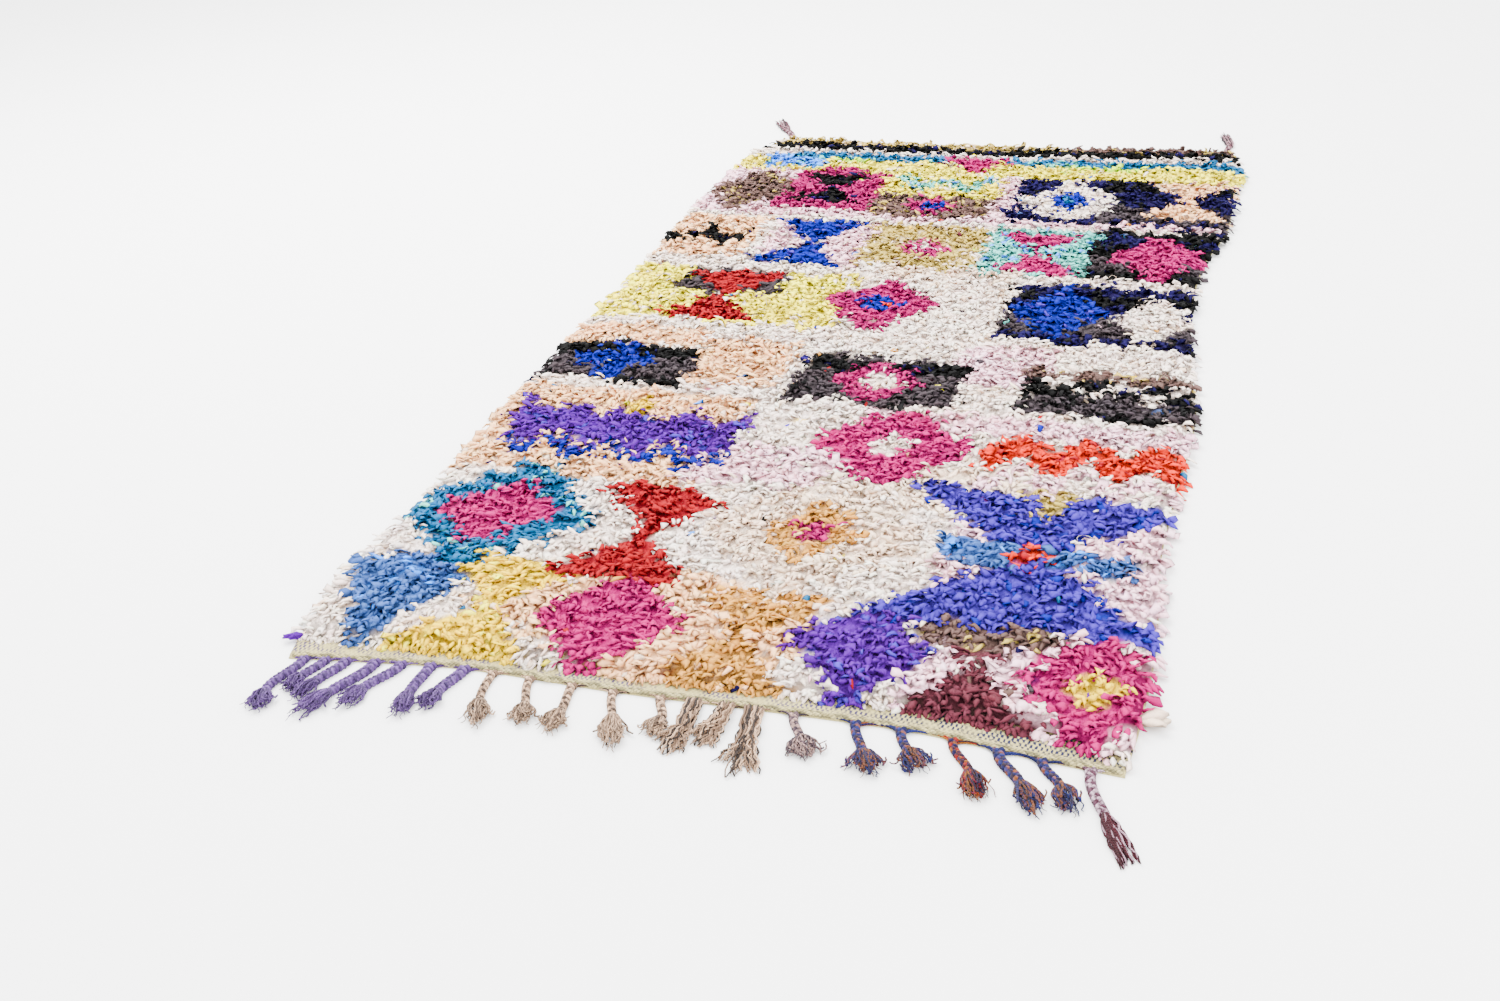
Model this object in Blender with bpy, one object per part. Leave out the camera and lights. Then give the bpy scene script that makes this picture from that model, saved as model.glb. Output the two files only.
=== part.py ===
"""A boucherouite rug laid flat on a floor: ground weave, rag pile, plaited warp ends.

Metres, +Z up. The plaited end points to -Y and the far end to +Y. The origin is on the
floor, under the middle of the whole rug with its plaits.
Plan positions below are measured across from the rug's long centreline, and along from
the near left corner of the ground weave. in_row() brings them into the part's frame.
"""

import math
import random
from collections import namedtuple

import bmesh
import bpy
from mathutils import Vector, noise

# Driving dimensions
PLAN_CENTRE = Vector((-0.0106, 1.3297))
GAP = 0.0003
GROUND_THICKNESS = 0.004
PILE_HEIGHT = 0.021
PILE_LUMP = 0.0045
LUMP_SIZE = 0.075
PILE_OVERHANG = 0.001
FAR_INSET = 0.006
PILE_COLUMNS = 30
PILE_ROWS = 60
RIM_LOCK_COUNT = 112
RIM_LOCK_REACH = 0.018
RIM_LOCK_SWAY = 0.005
RIM_LOCK_FOOT = (0.0005, 0.002)
RIM_LOCK_CROWN = (0.009, 0.013)
PLAIT_THICKNESS = 0.0085
PLAIT_PITCH = 0.013
PLAIT_PINCH = 0.16
ROOT_WIDTH = 0.018
NECK_LENGTH = 0.006
SCALLOP_DEPTH = 0.003
HEAD_LENGTH = 0.020
STRAND_RADIUS = 0.0017
STRAND_SPREAD = 0.0125
CORD_DIAMETER = 0.005
CORD_LEFT = -0.612
CORD_RIGHT = 0.610
CORD_POINTS = 25
FAR_LEFT = -0.615
FAR_RIGHT = 0.612
FAR_POINTS = 13
CORNER_ROUND = 0.012
MIDDLE = 1.3
SEED = 11

# The two woven edges, from the near end to the far end
EdgeStation = namedtuple("EdgeStation", "y left right")
EDGES = (
    EdgeStation(0.00, -0.645, 0.632),
    EdgeStation(0.10, -0.664, 0.640),
    EdgeStation(0.30, -0.672, 0.643),
    EdgeStation(0.55, -0.662, 0.626),
    EdgeStation(0.80, -0.668, 0.632),
    EdgeStation(1.07, -0.676, 0.640),
    EdgeStation(1.30, -0.670, 0.612),
    EdgeStation(1.60, -0.672, 0.592),
    EdgeStation(1.85, -0.676, 0.600),
    EdgeStation(2.08, -0.678, 0.636),
    EdgeStation(2.30, -0.672, 0.634),
    EdgeStation(2.48, -0.662, 0.640),
    EdgeStation(2.64, -0.615, 0.612),
)

# The near end, the line where the pile starts, and the far end, from left to right
EndStation = namedtuple("EndStation", "x near pile far")
ENDS = (
    EndStation(-0.66, 0.000, 0.060, 2.652),
    EndStation(-0.55, 0.014, 0.064, 2.646),
    EndStation(-0.35, 0.033, 0.070, 2.640),
    EndStation(-0.10, 0.026, 0.068, 2.630),
    EndStation(0.15, 0.029, 0.072, 2.632),
    EndStation(0.35, 0.025, 0.074, 2.640),
    EndStation(0.50, 0.004, 0.056, 2.648),
    EndStation(0.65, -0.012, 0.012, 2.656),
)

# Each plait leaves the near edge at root, is knotted at head and frays out to tip
Plait = namedtuple("Plait", "colour root head tip width knot")
PLAITS = (
    Plait("violet", -0.616, (-0.630, -0.092), (-0.615, -0.142), 0.0115, 0.026),
    Plait("violet", -0.581, (-0.596, -0.044), (-0.600, -0.088), 0.0110, 0.018),
    Plait("violet", -0.547, (-0.566, -0.050), (-0.575, -0.106), 0.0120, 0.020),
    Plait("violet", -0.500, (-0.530, -0.070), (-0.556, -0.144), 0.0130, 0.022),
    Plait("violet", -0.457, (-0.485, -0.050), (-0.498, -0.108), 0.0120, 0.024),
    Plait("violet", -0.410, (-0.410, -0.048), (-0.401, -0.112), 0.0125, 0.022),
    Plait("violet", -0.354, (-0.369, -0.036), (-0.372, -0.086), 0.0130, 0.024),
    Plait("beige", -0.307, (-0.297, -0.042), (-0.272, -0.106), 0.0100, 0.024),
    Plait("beige", -0.246, (-0.226, -0.038), (-0.212, -0.088), 0.0100, 0.024),
    Plait("beige", -0.176, (-0.168, -0.040), (-0.166, -0.098), 0.0105, 0.026),
    Plait("beige", -0.110, (-0.089, -0.036), (-0.060, -0.114), 0.0100, 0.022),
    Plait("beige", -0.036, (-0.018, -0.028), (-0.022, -0.074), 0.0105, 0.024),
    Plait("beige", 0.016, (0.024, -0.046), (0.018, -0.100), 0.0120, 0.022),
    Plait("beige", 0.066, (0.068, -0.024), (0.056, -0.072), 0.0120, 0.020),
    Plait("beige", 0.107, (0.120, -0.050), (0.127, -0.124), 0.0150, 0.028),
    Plait("lilac", 0.165, (0.190, -0.026), (0.212, -0.076), 0.0100, 0.026),
    Plait("blue", 0.256, (0.281, -0.036), (0.302, -0.092), 0.0110, 0.026),
    Plait("blue", 0.322, (0.342, -0.022), (0.372, -0.070), 0.0110, 0.024),
    Plait("orange", 0.397, (0.431, -0.046), (0.459, -0.112), 0.0100, 0.022),
    Plait("blue", 0.462, (0.500, -0.056), (0.533, -0.126), 0.0120, 0.024),
    Plait("blue", 0.522, (0.554, -0.052), (0.578, -0.108), 0.0105, 0.024),
    Plait("burgundy", 0.588, (0.616, -0.096), (0.668, -0.204), 0.0110, 0.018),
)

# Loose warp bundles at the two far corners
FAR_BUNDLES = {
    "far_bundle_left": Plait(
        "lilac", -0.600, (-0.645, 2.752), (-0.694, 2.862), 0.0120, 0.013
    ),
    "far_bundle_right": Plait(
        "lilac", 0.596, (0.598, 2.735), (0.574, 2.842), 0.0100, 0.012
    ),
}

# Colour, roughness
YARNS = {
    "ground": ((0.66, 0.62, 0.46), 0.95),
    "rag": ((0.72, 0.65, 0.62), 0.90),
    "violet": ((0.20, 0.13, 0.42), 0.92),
    "beige": ((0.42, 0.34, 0.25), 0.95),
    "lilac": ((0.45, 0.38, 0.42), 0.93),
    "blue": ((0.10, 0.12, 0.34), 0.92),
    "orange": ((0.50, 0.16, 0.10), 0.92),
    "burgundy": ((0.26, 0.06, 0.10), 0.92),
}

SIDES = 8
# Where each strand of a frayed end lies, as a share of the fan's half width
STRAND_FAN = (-1.0, -0.36, 0.34, 1.0)
# Each ring's share of a strand's length, of its spread and of its radius
STRAND_RINGS = ((0.35, 0.80, 1.0), (1.0, 1.0, 0.55))
# Each ring's share of a knot's length, of its width and of the plait's thickness
KNOT_RINGS = ((0.3, 0.85, 1.1), (0.7, 1.0, 1.2), (1.0, 0.85, 0.95))
# How strongly a path keeps its first and last way, and the steps that it is drawn in
PATH_PULL = 0.35
PATH_STEPS = 80


def in_row(x, y):
    """A plan position in the part's frame."""
    return Vector((x - PLAN_CENTRE.x, y - PLAN_CENTRE.y))


def smooth(stations, key, value, where):
    """A table's value at a place between its rows, on one smooth curve through them."""
    at = [getattr(s, key) for s in stations]
    of = [getattr(s, value) for s in stations]
    where = min(max(where, at[0]), at[-1])
    i = max(k for k in range(len(at) - 1) if at[k] <= where)

    def slope(k):
        before = max(k - 1, 0)
        after = min(k + 1, len(at) - 1)
        return (of[after] - of[before]) / (at[after] - at[before])

    span = at[i + 1] - at[i]
    t = (where - at[i]) / span
    rise = of[i] * (2 * t**3 - 3 * t**2 + 1) + of[i + 1] * (3 * t**2 - 2 * t**3)
    return rise + span * (slope(i) * (t**3 - 2 * t**2 + t) + slope(i + 1) * (t**3 - t**2))


def left_edge(y):
    return smooth(EDGES, "y", "left", y)


def right_edge(y):
    return smooth(EDGES, "y", "right", y)


def near_end(x):
    return smooth(ENDS, "x", "near", x)


def pile_start(x):
    return smooth(ENDS, "x", "pile", x)


def far_end(x):
    return smooth(ENDS, "x", "far", x)


def material(name):
    colour, roughness = YARNS[name]
    made = bpy.data.materials.get(name) or bpy.data.materials.new(name)
    made.use_nodes = True
    shader = made.node_tree.nodes["Principled BSDF"]
    shader.inputs["Base Color"].default_value = (*colour, 1.0)
    shader.inputs["Roughness"].default_value = roughness
    shader.inputs["Metallic"].default_value = 0.0
    return made


def add_mesh(name, bm, yarn, collection):
    """Keeps a finished bmesh as a named object of the rug."""
    bmesh.ops.recalc_face_normals(bm, faces=bm.faces[:])
    mesh = bpy.data.meshes.new(name)
    bm.to_mesh(mesh)
    bm.free()
    mesh.materials.append(material(yarn))
    made = bpy.data.objects.new(name, mesh)
    collection.objects.link(made)
    return made


def near_edge_points():
    """The near edge from left to right: straight where a plait is rooted, drawn in between."""
    points = [in_row(left_edge(0.0), near_end(ENDS[0].x))]
    last = None
    for plait in PLAITS:
        left, right = plait.root - ROOT_WIDTH / 2, plait.root + ROOT_WIDTH / 2
        if last is not None:
            middle = (last + left) / 2
            points.append(in_row(middle, near_end(middle) + SCALLOP_DEPTH))
        points.append(in_row(left, near_end(left)))
        points.append(in_row(right, near_end(right)))
        last = right
    points.append(in_row(right_edge(0.0), near_end(ENDS[-1].x) + CORNER_ROUND))
    return points


def ground_outline():
    """The ground weave's outline, counterclockwise from its near left corner."""
    points = near_edge_points()
    along = [s.y for s in EDGES if 0.05 < s.y < 2.6]
    between = [(a + b) / 2 for a, b in zip(along, along[1:])]
    heights = sorted(along + between)
    points += [in_row(right_edge(y), y) for y in heights]
    step = (FAR_RIGHT - FAR_LEFT) / (FAR_POINTS - 1)
    across = [FAR_RIGHT - k * step for k in range(FAR_POINTS)]
    points += [in_row(x, far_end(x)) for x in across]
    points += [in_row(left_edge(y), y) for y in reversed(heights)]
    return points


def build_ground(collection):
    """The flat woven ground, which shows as the pale band at the near end."""
    points = ground_outline()
    curve = bpy.data.curves.new("ground_weave", "CURVE")
    curve.dimensions = "2D"
    curve.fill_mode = "BOTH"
    curve.extrude = GROUND_THICKNESS / 2
    line = curve.splines.new("POLY")
    line.points.add(len(points) - 1)
    for point, place in zip(line.points, points):
        point.co = (place.x, place.y, 0.0, 1.0)
    line.use_cyclic_u = True
    curve.materials.append(material("ground"))
    ground = bpy.data.objects.new("ground_weave", curve)
    ground.location.z = GROUND_THICKNESS / 2
    collection.objects.link(ground)
    return ground


def pile_place(u, v):
    """The plan position at a share of the pile's width and of its length."""
    x = left_edge(MIDDLE) * (1 - u) + right_edge(MIDDLE) * u
    y = pile_start(x) * (1 - v) + (far_end(x) - FAR_INSET) * v
    left, right = left_edge(y) - PILE_OVERHANG, right_edge(y) + PILE_OVERHANG
    return in_row(left * (1 - u) + right * u, y)


def lump(place):
    """How far the pile stands above or below its mean height."""
    coarse = noise.noise(Vector((place.x, place.y, 0.3)) / LUMP_SIZE)
    fine = noise.noise(Vector((place.x, place.y, 5.1)) / (LUMP_SIZE * 0.45))
    return PILE_LUMP * (coarse + 0.8 * fine)


def outward(face):
    return Vector((face.normal.x, face.normal.y, 0.0)).normalized()


def by_place(faces):
    """Faces in the order of their places, whatever order they were made in."""
    return sorted(faces, key=lambda f: tuple(round(c, 5) for c in f.calc_center_median()))


def pull_rim_locks(bm, rng):
    """Draws locks out of the slab's long sides, narrowed, splayed and hanging to the floor."""
    rim = [f for f in bm.faces if abs(f.normal.z) < 0.5 and abs(outward(f).x) > 0.8]
    chosen = rng.sample(by_place(rim), RIM_LOCK_COUNT)
    for face in by_place(bmesh.ops.extrude_discrete_faces(bm, faces=chosen)["faces"]):
        way = outward(face)
        centre = face.calc_center_median()
        aside = Vector((-way.y, way.x, 0.0)) * rng.uniform(-RIM_LOCK_SWAY, RIM_LOCK_SWAY)
        reach = RIM_LOCK_REACH * rng.uniform(0.6, 1.15)
        narrow = rng.uniform(0.35, 0.55)
        low, high = rng.uniform(*RIM_LOCK_FOOT), rng.uniform(*RIM_LOCK_CROWN)
        for vertex in face.verts:
            off = vertex.co - centre
            vertex.co = centre + off * narrow + way * reach + aside
            vertex.co.z = low if off.z < 0 else high


def build_pile(collection):
    """The rag pile: a lumpy slab on the ground weave, with locks round its rim."""
    rng = random.Random(SEED)
    bm = bmesh.new()
    bmesh.ops.create_grid(bm, x_segments=PILE_COLUMNS, y_segments=PILE_ROWS, size=0.5)
    for vertex in bm.verts:
        place = pile_place(vertex.co.x + 0.5, vertex.co.y + 0.5)
        vertex.co = (place.x, place.y, GROUND_THICKNESS + GAP)
    floor = bm.faces[:]
    top = bmesh.ops.extrude_face_region(bm, geom=floor, use_keep_orig=True)["geom"]
    for vertex in (item for item in top if isinstance(item, bmesh.types.BMVert)):
        vertex.co.z += PILE_HEIGHT + lump(vertex.co)
    bmesh.ops.dissolve_faces(bm, faces=floor)
    bmesh.ops.recalc_face_normals(bm, faces=bm.faces[:])
    bm.normal_update()
    bm.faces.index_update()
    pull_rim_locks(bm, rng)
    return add_mesh("rag_pile", bm, "rag", collection)


def lay_path(start, first_way, end, last_way, count):
    """Evenly spaced points on a smooth curve, with the way it runs at each of them."""
    pull = (end - start).length * PATH_PULL
    corners = [start, start + first_way * pull, end - last_way * pull, end]
    fine = []
    for k in range(PATH_STEPS + 1):
        t = k / PATH_STEPS
        weights = ((1 - t) ** 3, 3 * t * (1 - t) ** 2, 3 * t**2 * (1 - t), t**3)
        fine.append(sum((c * w for c, w in zip(corners, weights)), Vector((0.0, 0.0))))
    run = [0.0]
    for a, b in zip(fine, fine[1:]):
        run.append(run[-1] + (b - a).length)
    stations = []
    for k in range(1, count + 1):
        want = run[-1] * k / count
        i = min(range(1, len(run)), key=lambda j: abs(run[j] - want))
        ahead, behind = fine[min(i + 4, PATH_STEPS)], fine[max(i - 4, 0)]
        stations.append((fine[i], (ahead - behind).normalized()))
    return stations


def ring(centre, way, half_width, half_height, skew=0.0):
    """Points round a yarn bundle that rests on the floor, square to the way it runs."""
    aside = Vector((-way.y, way.x))
    lift = half_height
    points = []
    for k in range(SIDES):
        angle = 2 * math.pi * k / SIDES
        across = half_width * (math.cos(angle) + skew * abs(math.cos(angle)))
        flat = centre + aside * across
        points.append(Vector((flat.x, flat.y, lift + half_height * math.sin(angle))))
    return points


def move_ring(face, before, after):
    """Sets a new ring's points, matched to those of the ring that it was drawn from."""
    index = {tuple(round(c, 6) for c in p): k for k, p in enumerate(before)}
    for vertex in face.verts:
        vertex.co = after[index[tuple(round(c, 6) for c in vertex.co)]]


def exact(points):
    """The points as a mesh stores them."""
    bm = bmesh.new()
    stored = [bm.verts.new(p).co.copy() for p in points]
    bm.free()
    return stored


def sweep(bm, rings):
    """A closed bundle through the rings. It gives back the face at its far end."""
    rings = [exact(points) for points in rings]
    made = bmesh.ops.create_circle(bm, cap_ends=True, segments=SIDES, radius=1.0)["verts"]
    for vertex, place in zip(made, rings[0]):
        vertex.co = place
    face = made[0].link_faces[0]
    grown = bmesh.ops.extrude_face_region(bm, geom=[face], use_keep_orig=True)["geom"]
    face = next(item for item in grown if isinstance(item, bmesh.types.BMFace))
    move_ring(face, rings[0], rings[1])
    for before, after in zip(rings[1:], rings[2:]):
        face = bmesh.ops.extrude_discrete_faces(bm, faces=[face])["faces"][0]
        move_ring(face, before, after)
    return face


def split_end(bm, end, aside):
    """Parts a bundle's end face into strands that stand side by side."""
    verts = sorted(end.verts, key=lambda v: v.co.xy.dot(aside))
    before = set(bm.faces)
    for k in range(1, SIDES - 1, 2):
        bmesh.ops.connect_verts(bm, verts=verts[k : k + 2])
    parts = [f for f in bm.faces if f not in before] + [end]
    return sorted(parts, key=lambda f: f.calc_center_median().xy.dot(aside))


def fray(bm, end, way, tip, spread, rng):
    """Draws the end out into strands that fan apart and lie level on the floor."""
    aside = Vector((-way.y, way.x))
    middle = end.calc_center_median().xy
    reach = (tip - middle).length
    for share_across, face in zip(STRAND_FAN, split_end(bm, end, aside)):
        length = reach * rng.uniform(0.84, 1.0)
        for along, across, size in STRAND_RINGS:
            flat = middle + way * (length * along) + aside * (spread * share_across * across)
            face = bmesh.ops.extrude_discrete_faces(bm, faces=[face])["faces"][0]
            centre = face.calc_center_median()
            scale = STRAND_RADIUS * size / max((v.co - centre).length for v in face.verts)
            for vertex in face.verts:
                vertex.co = Vector((flat.x, flat.y, 0.0)) + (vertex.co - centre) * scale
            low = min(v.co.z for v in face.verts)
            for vertex in face.verts:
                vertex.co.z -= low


def stem_rings(root, first_way, head, last_way, width):
    """Rings from the woven edge to the knot, pinched left and right in turn like a plait."""
    neck = root + first_way * NECK_LENGTH
    count = max(3, round((head - neck).length * 1.05 / (PLAIT_PITCH / 2)))
    rings = [
        ring(root, first_way, ROOT_WIDTH / 2, GROUND_THICKNESS * 0.5),
        ring(neck, first_way, width / 2, PLAIT_THICKNESS * 0.45),
    ]
    for k, (here, way) in enumerate(lay_path(neck, first_way, head, last_way, count)):
        pinch = PLAIT_PINCH * (-1) ** k
        rings.append(ring(here, way, width / 2, PLAIT_THICKNESS / 2, pinch))
    return rings


def build_plait(name, plait, root, first_way, collection):
    """One bundle of warp ends: plaited, knotted and frayed, lying on the floor."""
    rng = random.Random(f"{SEED}{name}")
    head = in_row(*plait.head)
    tip = in_row(*plait.tip)
    way = (tip - head).normalized()
    rings = stem_rings(root, first_way, head, way, plait.width)
    knot = min(HEAD_LENGTH, (tip - head).length * 0.35)
    for along, wide, high in KNOT_RINGS:
        centre = head + way * knot * along
        half_width, half_height = plait.knot / 2 * wide, PLAIT_THICKNESS / 2 * high
        rings.append(ring(centre, way, half_width, half_height))
    bm = bmesh.new()
    end = sweep(bm, rings)
    fray(bm, end, way, tip, max(STRAND_SPREAD, plait.knot * 0.5), rng)
    return add_mesh(name, bm, plait.colour, collection)


def build_plaits(collection):
    for number, plait in enumerate(PLAITS, start=1):
        left, right = plait.root - ROOT_WIDTH / 2, plait.root + ROOT_WIDTH / 2
        a, b = in_row(left, near_end(left)), in_row(right, near_end(right))
        along = (b - a).normalized()
        first_way = Vector((along.y, -along.x))
        root = (a + b) / 2 + first_way * GAP
        build_plait(f"plait_{number:02d}", plait, root, first_way, collection)


def build_far_bundles(collection):
    """The bundles start beyond the heading cord, face to face with it."""
    for name, plait in FAR_BUNDLES.items():
        left, right = plait.root - ROOT_WIDTH / 2, plait.root + ROOT_WIDTH / 2
        a, b = in_row(left, far_end(left)), in_row(right, far_end(right))
        along = (b - a).normalized()
        first_way = Vector((-along.y, along.x))
        root = (a + b) / 2 + first_way * (CORD_DIAMETER + 3 * GAP)
        build_plait(name, plait, root, first_way, collection)


def build_heading_cord(collection):
    """The cord along the far end that the warps are looped over."""
    radius = CORD_DIAMETER / 2
    curve = bpy.data.curves.new("heading_cord", "CURVE")
    curve.dimensions = "3D"
    curve.bevel_depth = radius
    curve.bevel_resolution = 1
    curve.use_fill_caps = True
    line = curve.splines.new("POLY")
    line.points.add(CORD_POINTS - 1)
    for k, point in enumerate(line.points):
        x = CORD_LEFT + (CORD_RIGHT - CORD_LEFT) * k / (CORD_POINTS - 1)
        place = in_row(x, far_end(x) + radius + 2 * GAP)
        point.co = (place.x, place.y, radius, 1.0)
    curve.materials.append(material("lilac"))
    cord = bpy.data.objects.new("heading_cord", curve)
    collection.objects.link(cord)
    return cord


def main():
    for old in list(bpy.data.objects):
        bpy.data.objects.remove(old)
    collection = bpy.data.collections.new("boucherouite_rug")
    bpy.context.scene.collection.children.link(collection)
    build_ground(collection)
    build_pile(collection)
    build_plaits(collection)
    build_far_bundles(collection)
    build_heading_cord(collection)


main()
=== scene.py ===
"""A boucherouite rug on a studio floor: woven ground, knotted rag pile, plaited warp ends.

Metres, +Z up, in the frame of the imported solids. Plan positions are measured across from
the rug's long centreline, and along from the near left corner of its ground weave.
"""

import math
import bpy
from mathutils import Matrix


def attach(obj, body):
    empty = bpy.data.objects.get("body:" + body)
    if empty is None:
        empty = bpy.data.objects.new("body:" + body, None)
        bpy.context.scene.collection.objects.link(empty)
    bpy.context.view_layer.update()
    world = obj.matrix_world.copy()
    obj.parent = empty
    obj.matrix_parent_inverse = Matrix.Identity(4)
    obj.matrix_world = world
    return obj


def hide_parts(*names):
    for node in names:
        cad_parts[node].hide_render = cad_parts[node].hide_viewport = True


bl_info = {
    "name": "Boucherouite Rug",
    "version": (1, 0, 0),
    "blender": (4, 5, 0),
    "location": "3D View > Sidebar > Rug",
    "description": "Builds the yarns, rags and weave of a boucherouite rug on its solids",
    "category": "Object",
}

from collections import namedtuple
from types import SimpleNamespace

import bpy
import numpy as np
from bpy.props import FloatProperty, FloatVectorProperty, IntProperty, PointerProperty
from mathutils import Matrix, Vector

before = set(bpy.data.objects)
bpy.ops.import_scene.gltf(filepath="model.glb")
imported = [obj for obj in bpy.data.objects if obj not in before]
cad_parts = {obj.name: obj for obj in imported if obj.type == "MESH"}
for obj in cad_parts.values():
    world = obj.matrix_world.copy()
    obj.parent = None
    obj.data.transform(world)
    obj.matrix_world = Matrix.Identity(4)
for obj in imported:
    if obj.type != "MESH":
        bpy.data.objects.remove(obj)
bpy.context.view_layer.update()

PLAN_CENTRE = (-0.0106, 1.3297)
BODY_LENGTH = 2.65
MIDDLE = 1.3
PILE_TOP = 0.033
SEED = 27

EdgeStation = namedtuple("EdgeStation", "y left right")
EDGES = (
    EdgeStation(0.00, -0.645, 0.632),
    EdgeStation(0.10, -0.664, 0.640),
    EdgeStation(0.30, -0.672, 0.643),
    EdgeStation(0.55, -0.662, 0.626),
    EdgeStation(0.80, -0.668, 0.632),
    EdgeStation(1.07, -0.676, 0.640),
    EdgeStation(1.30, -0.670, 0.612),
    EdgeStation(1.60, -0.672, 0.592),
    EdgeStation(1.85, -0.676, 0.600),
    EdgeStation(2.08, -0.678, 0.636),
    EdgeStation(2.30, -0.672, 0.634),
    EdgeStation(2.48, -0.662, 0.640),
    EdgeStation(2.64, -0.615, 0.612),
)

EndStation = namedtuple("EndStation", "x near pile far")
ENDS = (
    EndStation(-0.66, 0.000, 0.060, 2.652),
    EndStation(-0.55, 0.014, 0.064, 2.646),
    EndStation(-0.35, 0.033, 0.070, 2.640),
    EndStation(-0.10, 0.026, 0.068, 2.630),
    EndStation(0.15, 0.029, 0.072, 2.632),
    EndStation(0.35, 0.025, 0.074, 2.640),
    EndStation(0.50, 0.004, 0.056, 2.648),
    EndStation(0.65, -0.012, 0.012, 2.656),
)

# Each plait leaves the near edge at root, is knotted at head and frays out to tip.
# Its end is a brush of straight yarns, a tuft of wavy ones or a mop of ones folded back.
# A bunch was never plaited.
Plait = namedtuple("Plait", "yarns root head tip width knot end")
PLAITS = (
    Plait("violet", -0.616, (-0.630, -0.092), (-0.615, -0.142), 0.0115, 0.026, "mop"),
    Plait("violet", -0.581, (-0.596, -0.044), (-0.600, -0.088), 0.0110, 0.018, "tuft"),
    Plait("violet", -0.547, (-0.566, -0.050), (-0.575, -0.106), 0.0120, 0.020, "tuft"),
    Plait("violet", -0.500, (-0.530, -0.070), (-0.556, -0.144), 0.0130, 0.022, "tuft"),
    Plait("violet", -0.457, (-0.485, -0.050), (-0.498, -0.108), 0.0120, 0.024, "tuft"),
    Plait("violet", -0.410, (-0.410, -0.048), (-0.401, -0.112), 0.0125, 0.022, "tuft"),
    Plait("violet", -0.354, (-0.369, -0.036), (-0.372, -0.086), 0.0130, 0.024, "tuft"),
    Plait("beige", -0.307, (-0.297, -0.042), (-0.272, -0.106), 0.0100, 0.024, "mop"),
    Plait("beige", -0.246, (-0.226, -0.038), (-0.212, -0.088), 0.0100, 0.024, "mop"),
    Plait("beige", -0.176, (-0.168, -0.040), (-0.166, -0.098), 0.0105, 0.026, "mop"),
    Plait("beige", -0.110, (-0.089, -0.036), (-0.060, -0.114), 0.0100, 0.022, "mop"),
    Plait("beige", -0.036, (-0.018, -0.028), (-0.022, -0.074), 0.0105, 0.024, "mop"),
    Plait("beige", 0.016, (0.024, -0.046), (0.014, -0.100), 0.0150, 0.026, "bunch"),
    Plait("beige", 0.066, (0.068, -0.024), (0.054, -0.076), 0.0150, 0.026, "bunch"),
    Plait("beige", 0.107, (0.120, -0.050), (0.129, -0.126), 0.0200, 0.032, "bunch"),
    Plait("lilac", 0.165, (0.190, -0.026), (0.212, -0.076), 0.0100, 0.034, "mop"),
    Plait("blue", 0.256, (0.281, -0.036), (0.302, -0.092), 0.0110, 0.032, "mop"),
    Plait("blue", 0.322, (0.342, -0.022), (0.372, -0.070), 0.0110, 0.031, "mop"),
    Plait("orange", 0.397, (0.431, -0.046), (0.459, -0.112), 0.0100, 0.022, "mop"),
    Plait("blue", 0.462, (0.500, -0.056), (0.533, -0.126), 0.0120, 0.029, "mop"),
    Plait("blue", 0.522, (0.554, -0.052), (0.578, -0.108), 0.0105, 0.028, "mop"),
    Plait("burgundy", 0.588, (0.616, -0.096), (0.668, -0.204), 0.0115, 0.023, "brush"),
)
# How far the yarns of each kind of end turn over, in radians
BENDS = {"mop": 2.2, "tuft": 1.5}
FAR_BUNDLES = {
    "far_bundle_left": Plait(
        "corner", -0.600, (-0.645, 2.752), (-0.694, 2.862), 0.0135, 0.026, "brush"
    ),
    "far_bundle_right": Plait(
        "corner", 0.596, (0.598, 2.735), (0.574, 2.842), 0.0115, 0.022, "brush"
    ),
}

# The yarns of each plait, as plain colours in sRGB, 0 to 255
YARNS = {
    "violet": ((76, 49, 104), (50, 35, 70), (100, 71, 130)),
    "beige": ((122, 95, 75), (46, 36, 31), (196, 160, 130)),
    "lilac": ((92, 72, 78), (36, 28, 36), (160, 128, 120)),
    "blue": ((12, 16, 62), (40, 28, 36), (26, 32, 88), (112, 60, 24)),
    "orange": ((136, 20, 3), (42, 18, 26), (16, 12, 54), (130, 72, 6)),
    "burgundy": ((52, 18, 32), (176, 150, 164), (86, 54, 70)),
    "burgundy_end": ((48, 1, 13), (60, 2, 20), (30, 1, 11), (54, 4, 18), (150, 118, 132)),
    "corner": ((156, 118, 126), (22, 14, 20), (84, 42, 54)),
    "heading": ((150, 128, 108), (84, 72, 66)),
    "edge_weft": ((178, 166, 116), (142, 131, 88), (100, 94, 66)),
}

# The ground's cloth and warp flecks, from left to right, in the same terms
CLOTH = ((188, 175, 120), (154, 142, 94))
FLECKS = ((80, 68, 100), (10, 22, 66))
WARP_PITCH = 0.0037
WEFT_PITCH = 0.0080

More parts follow.
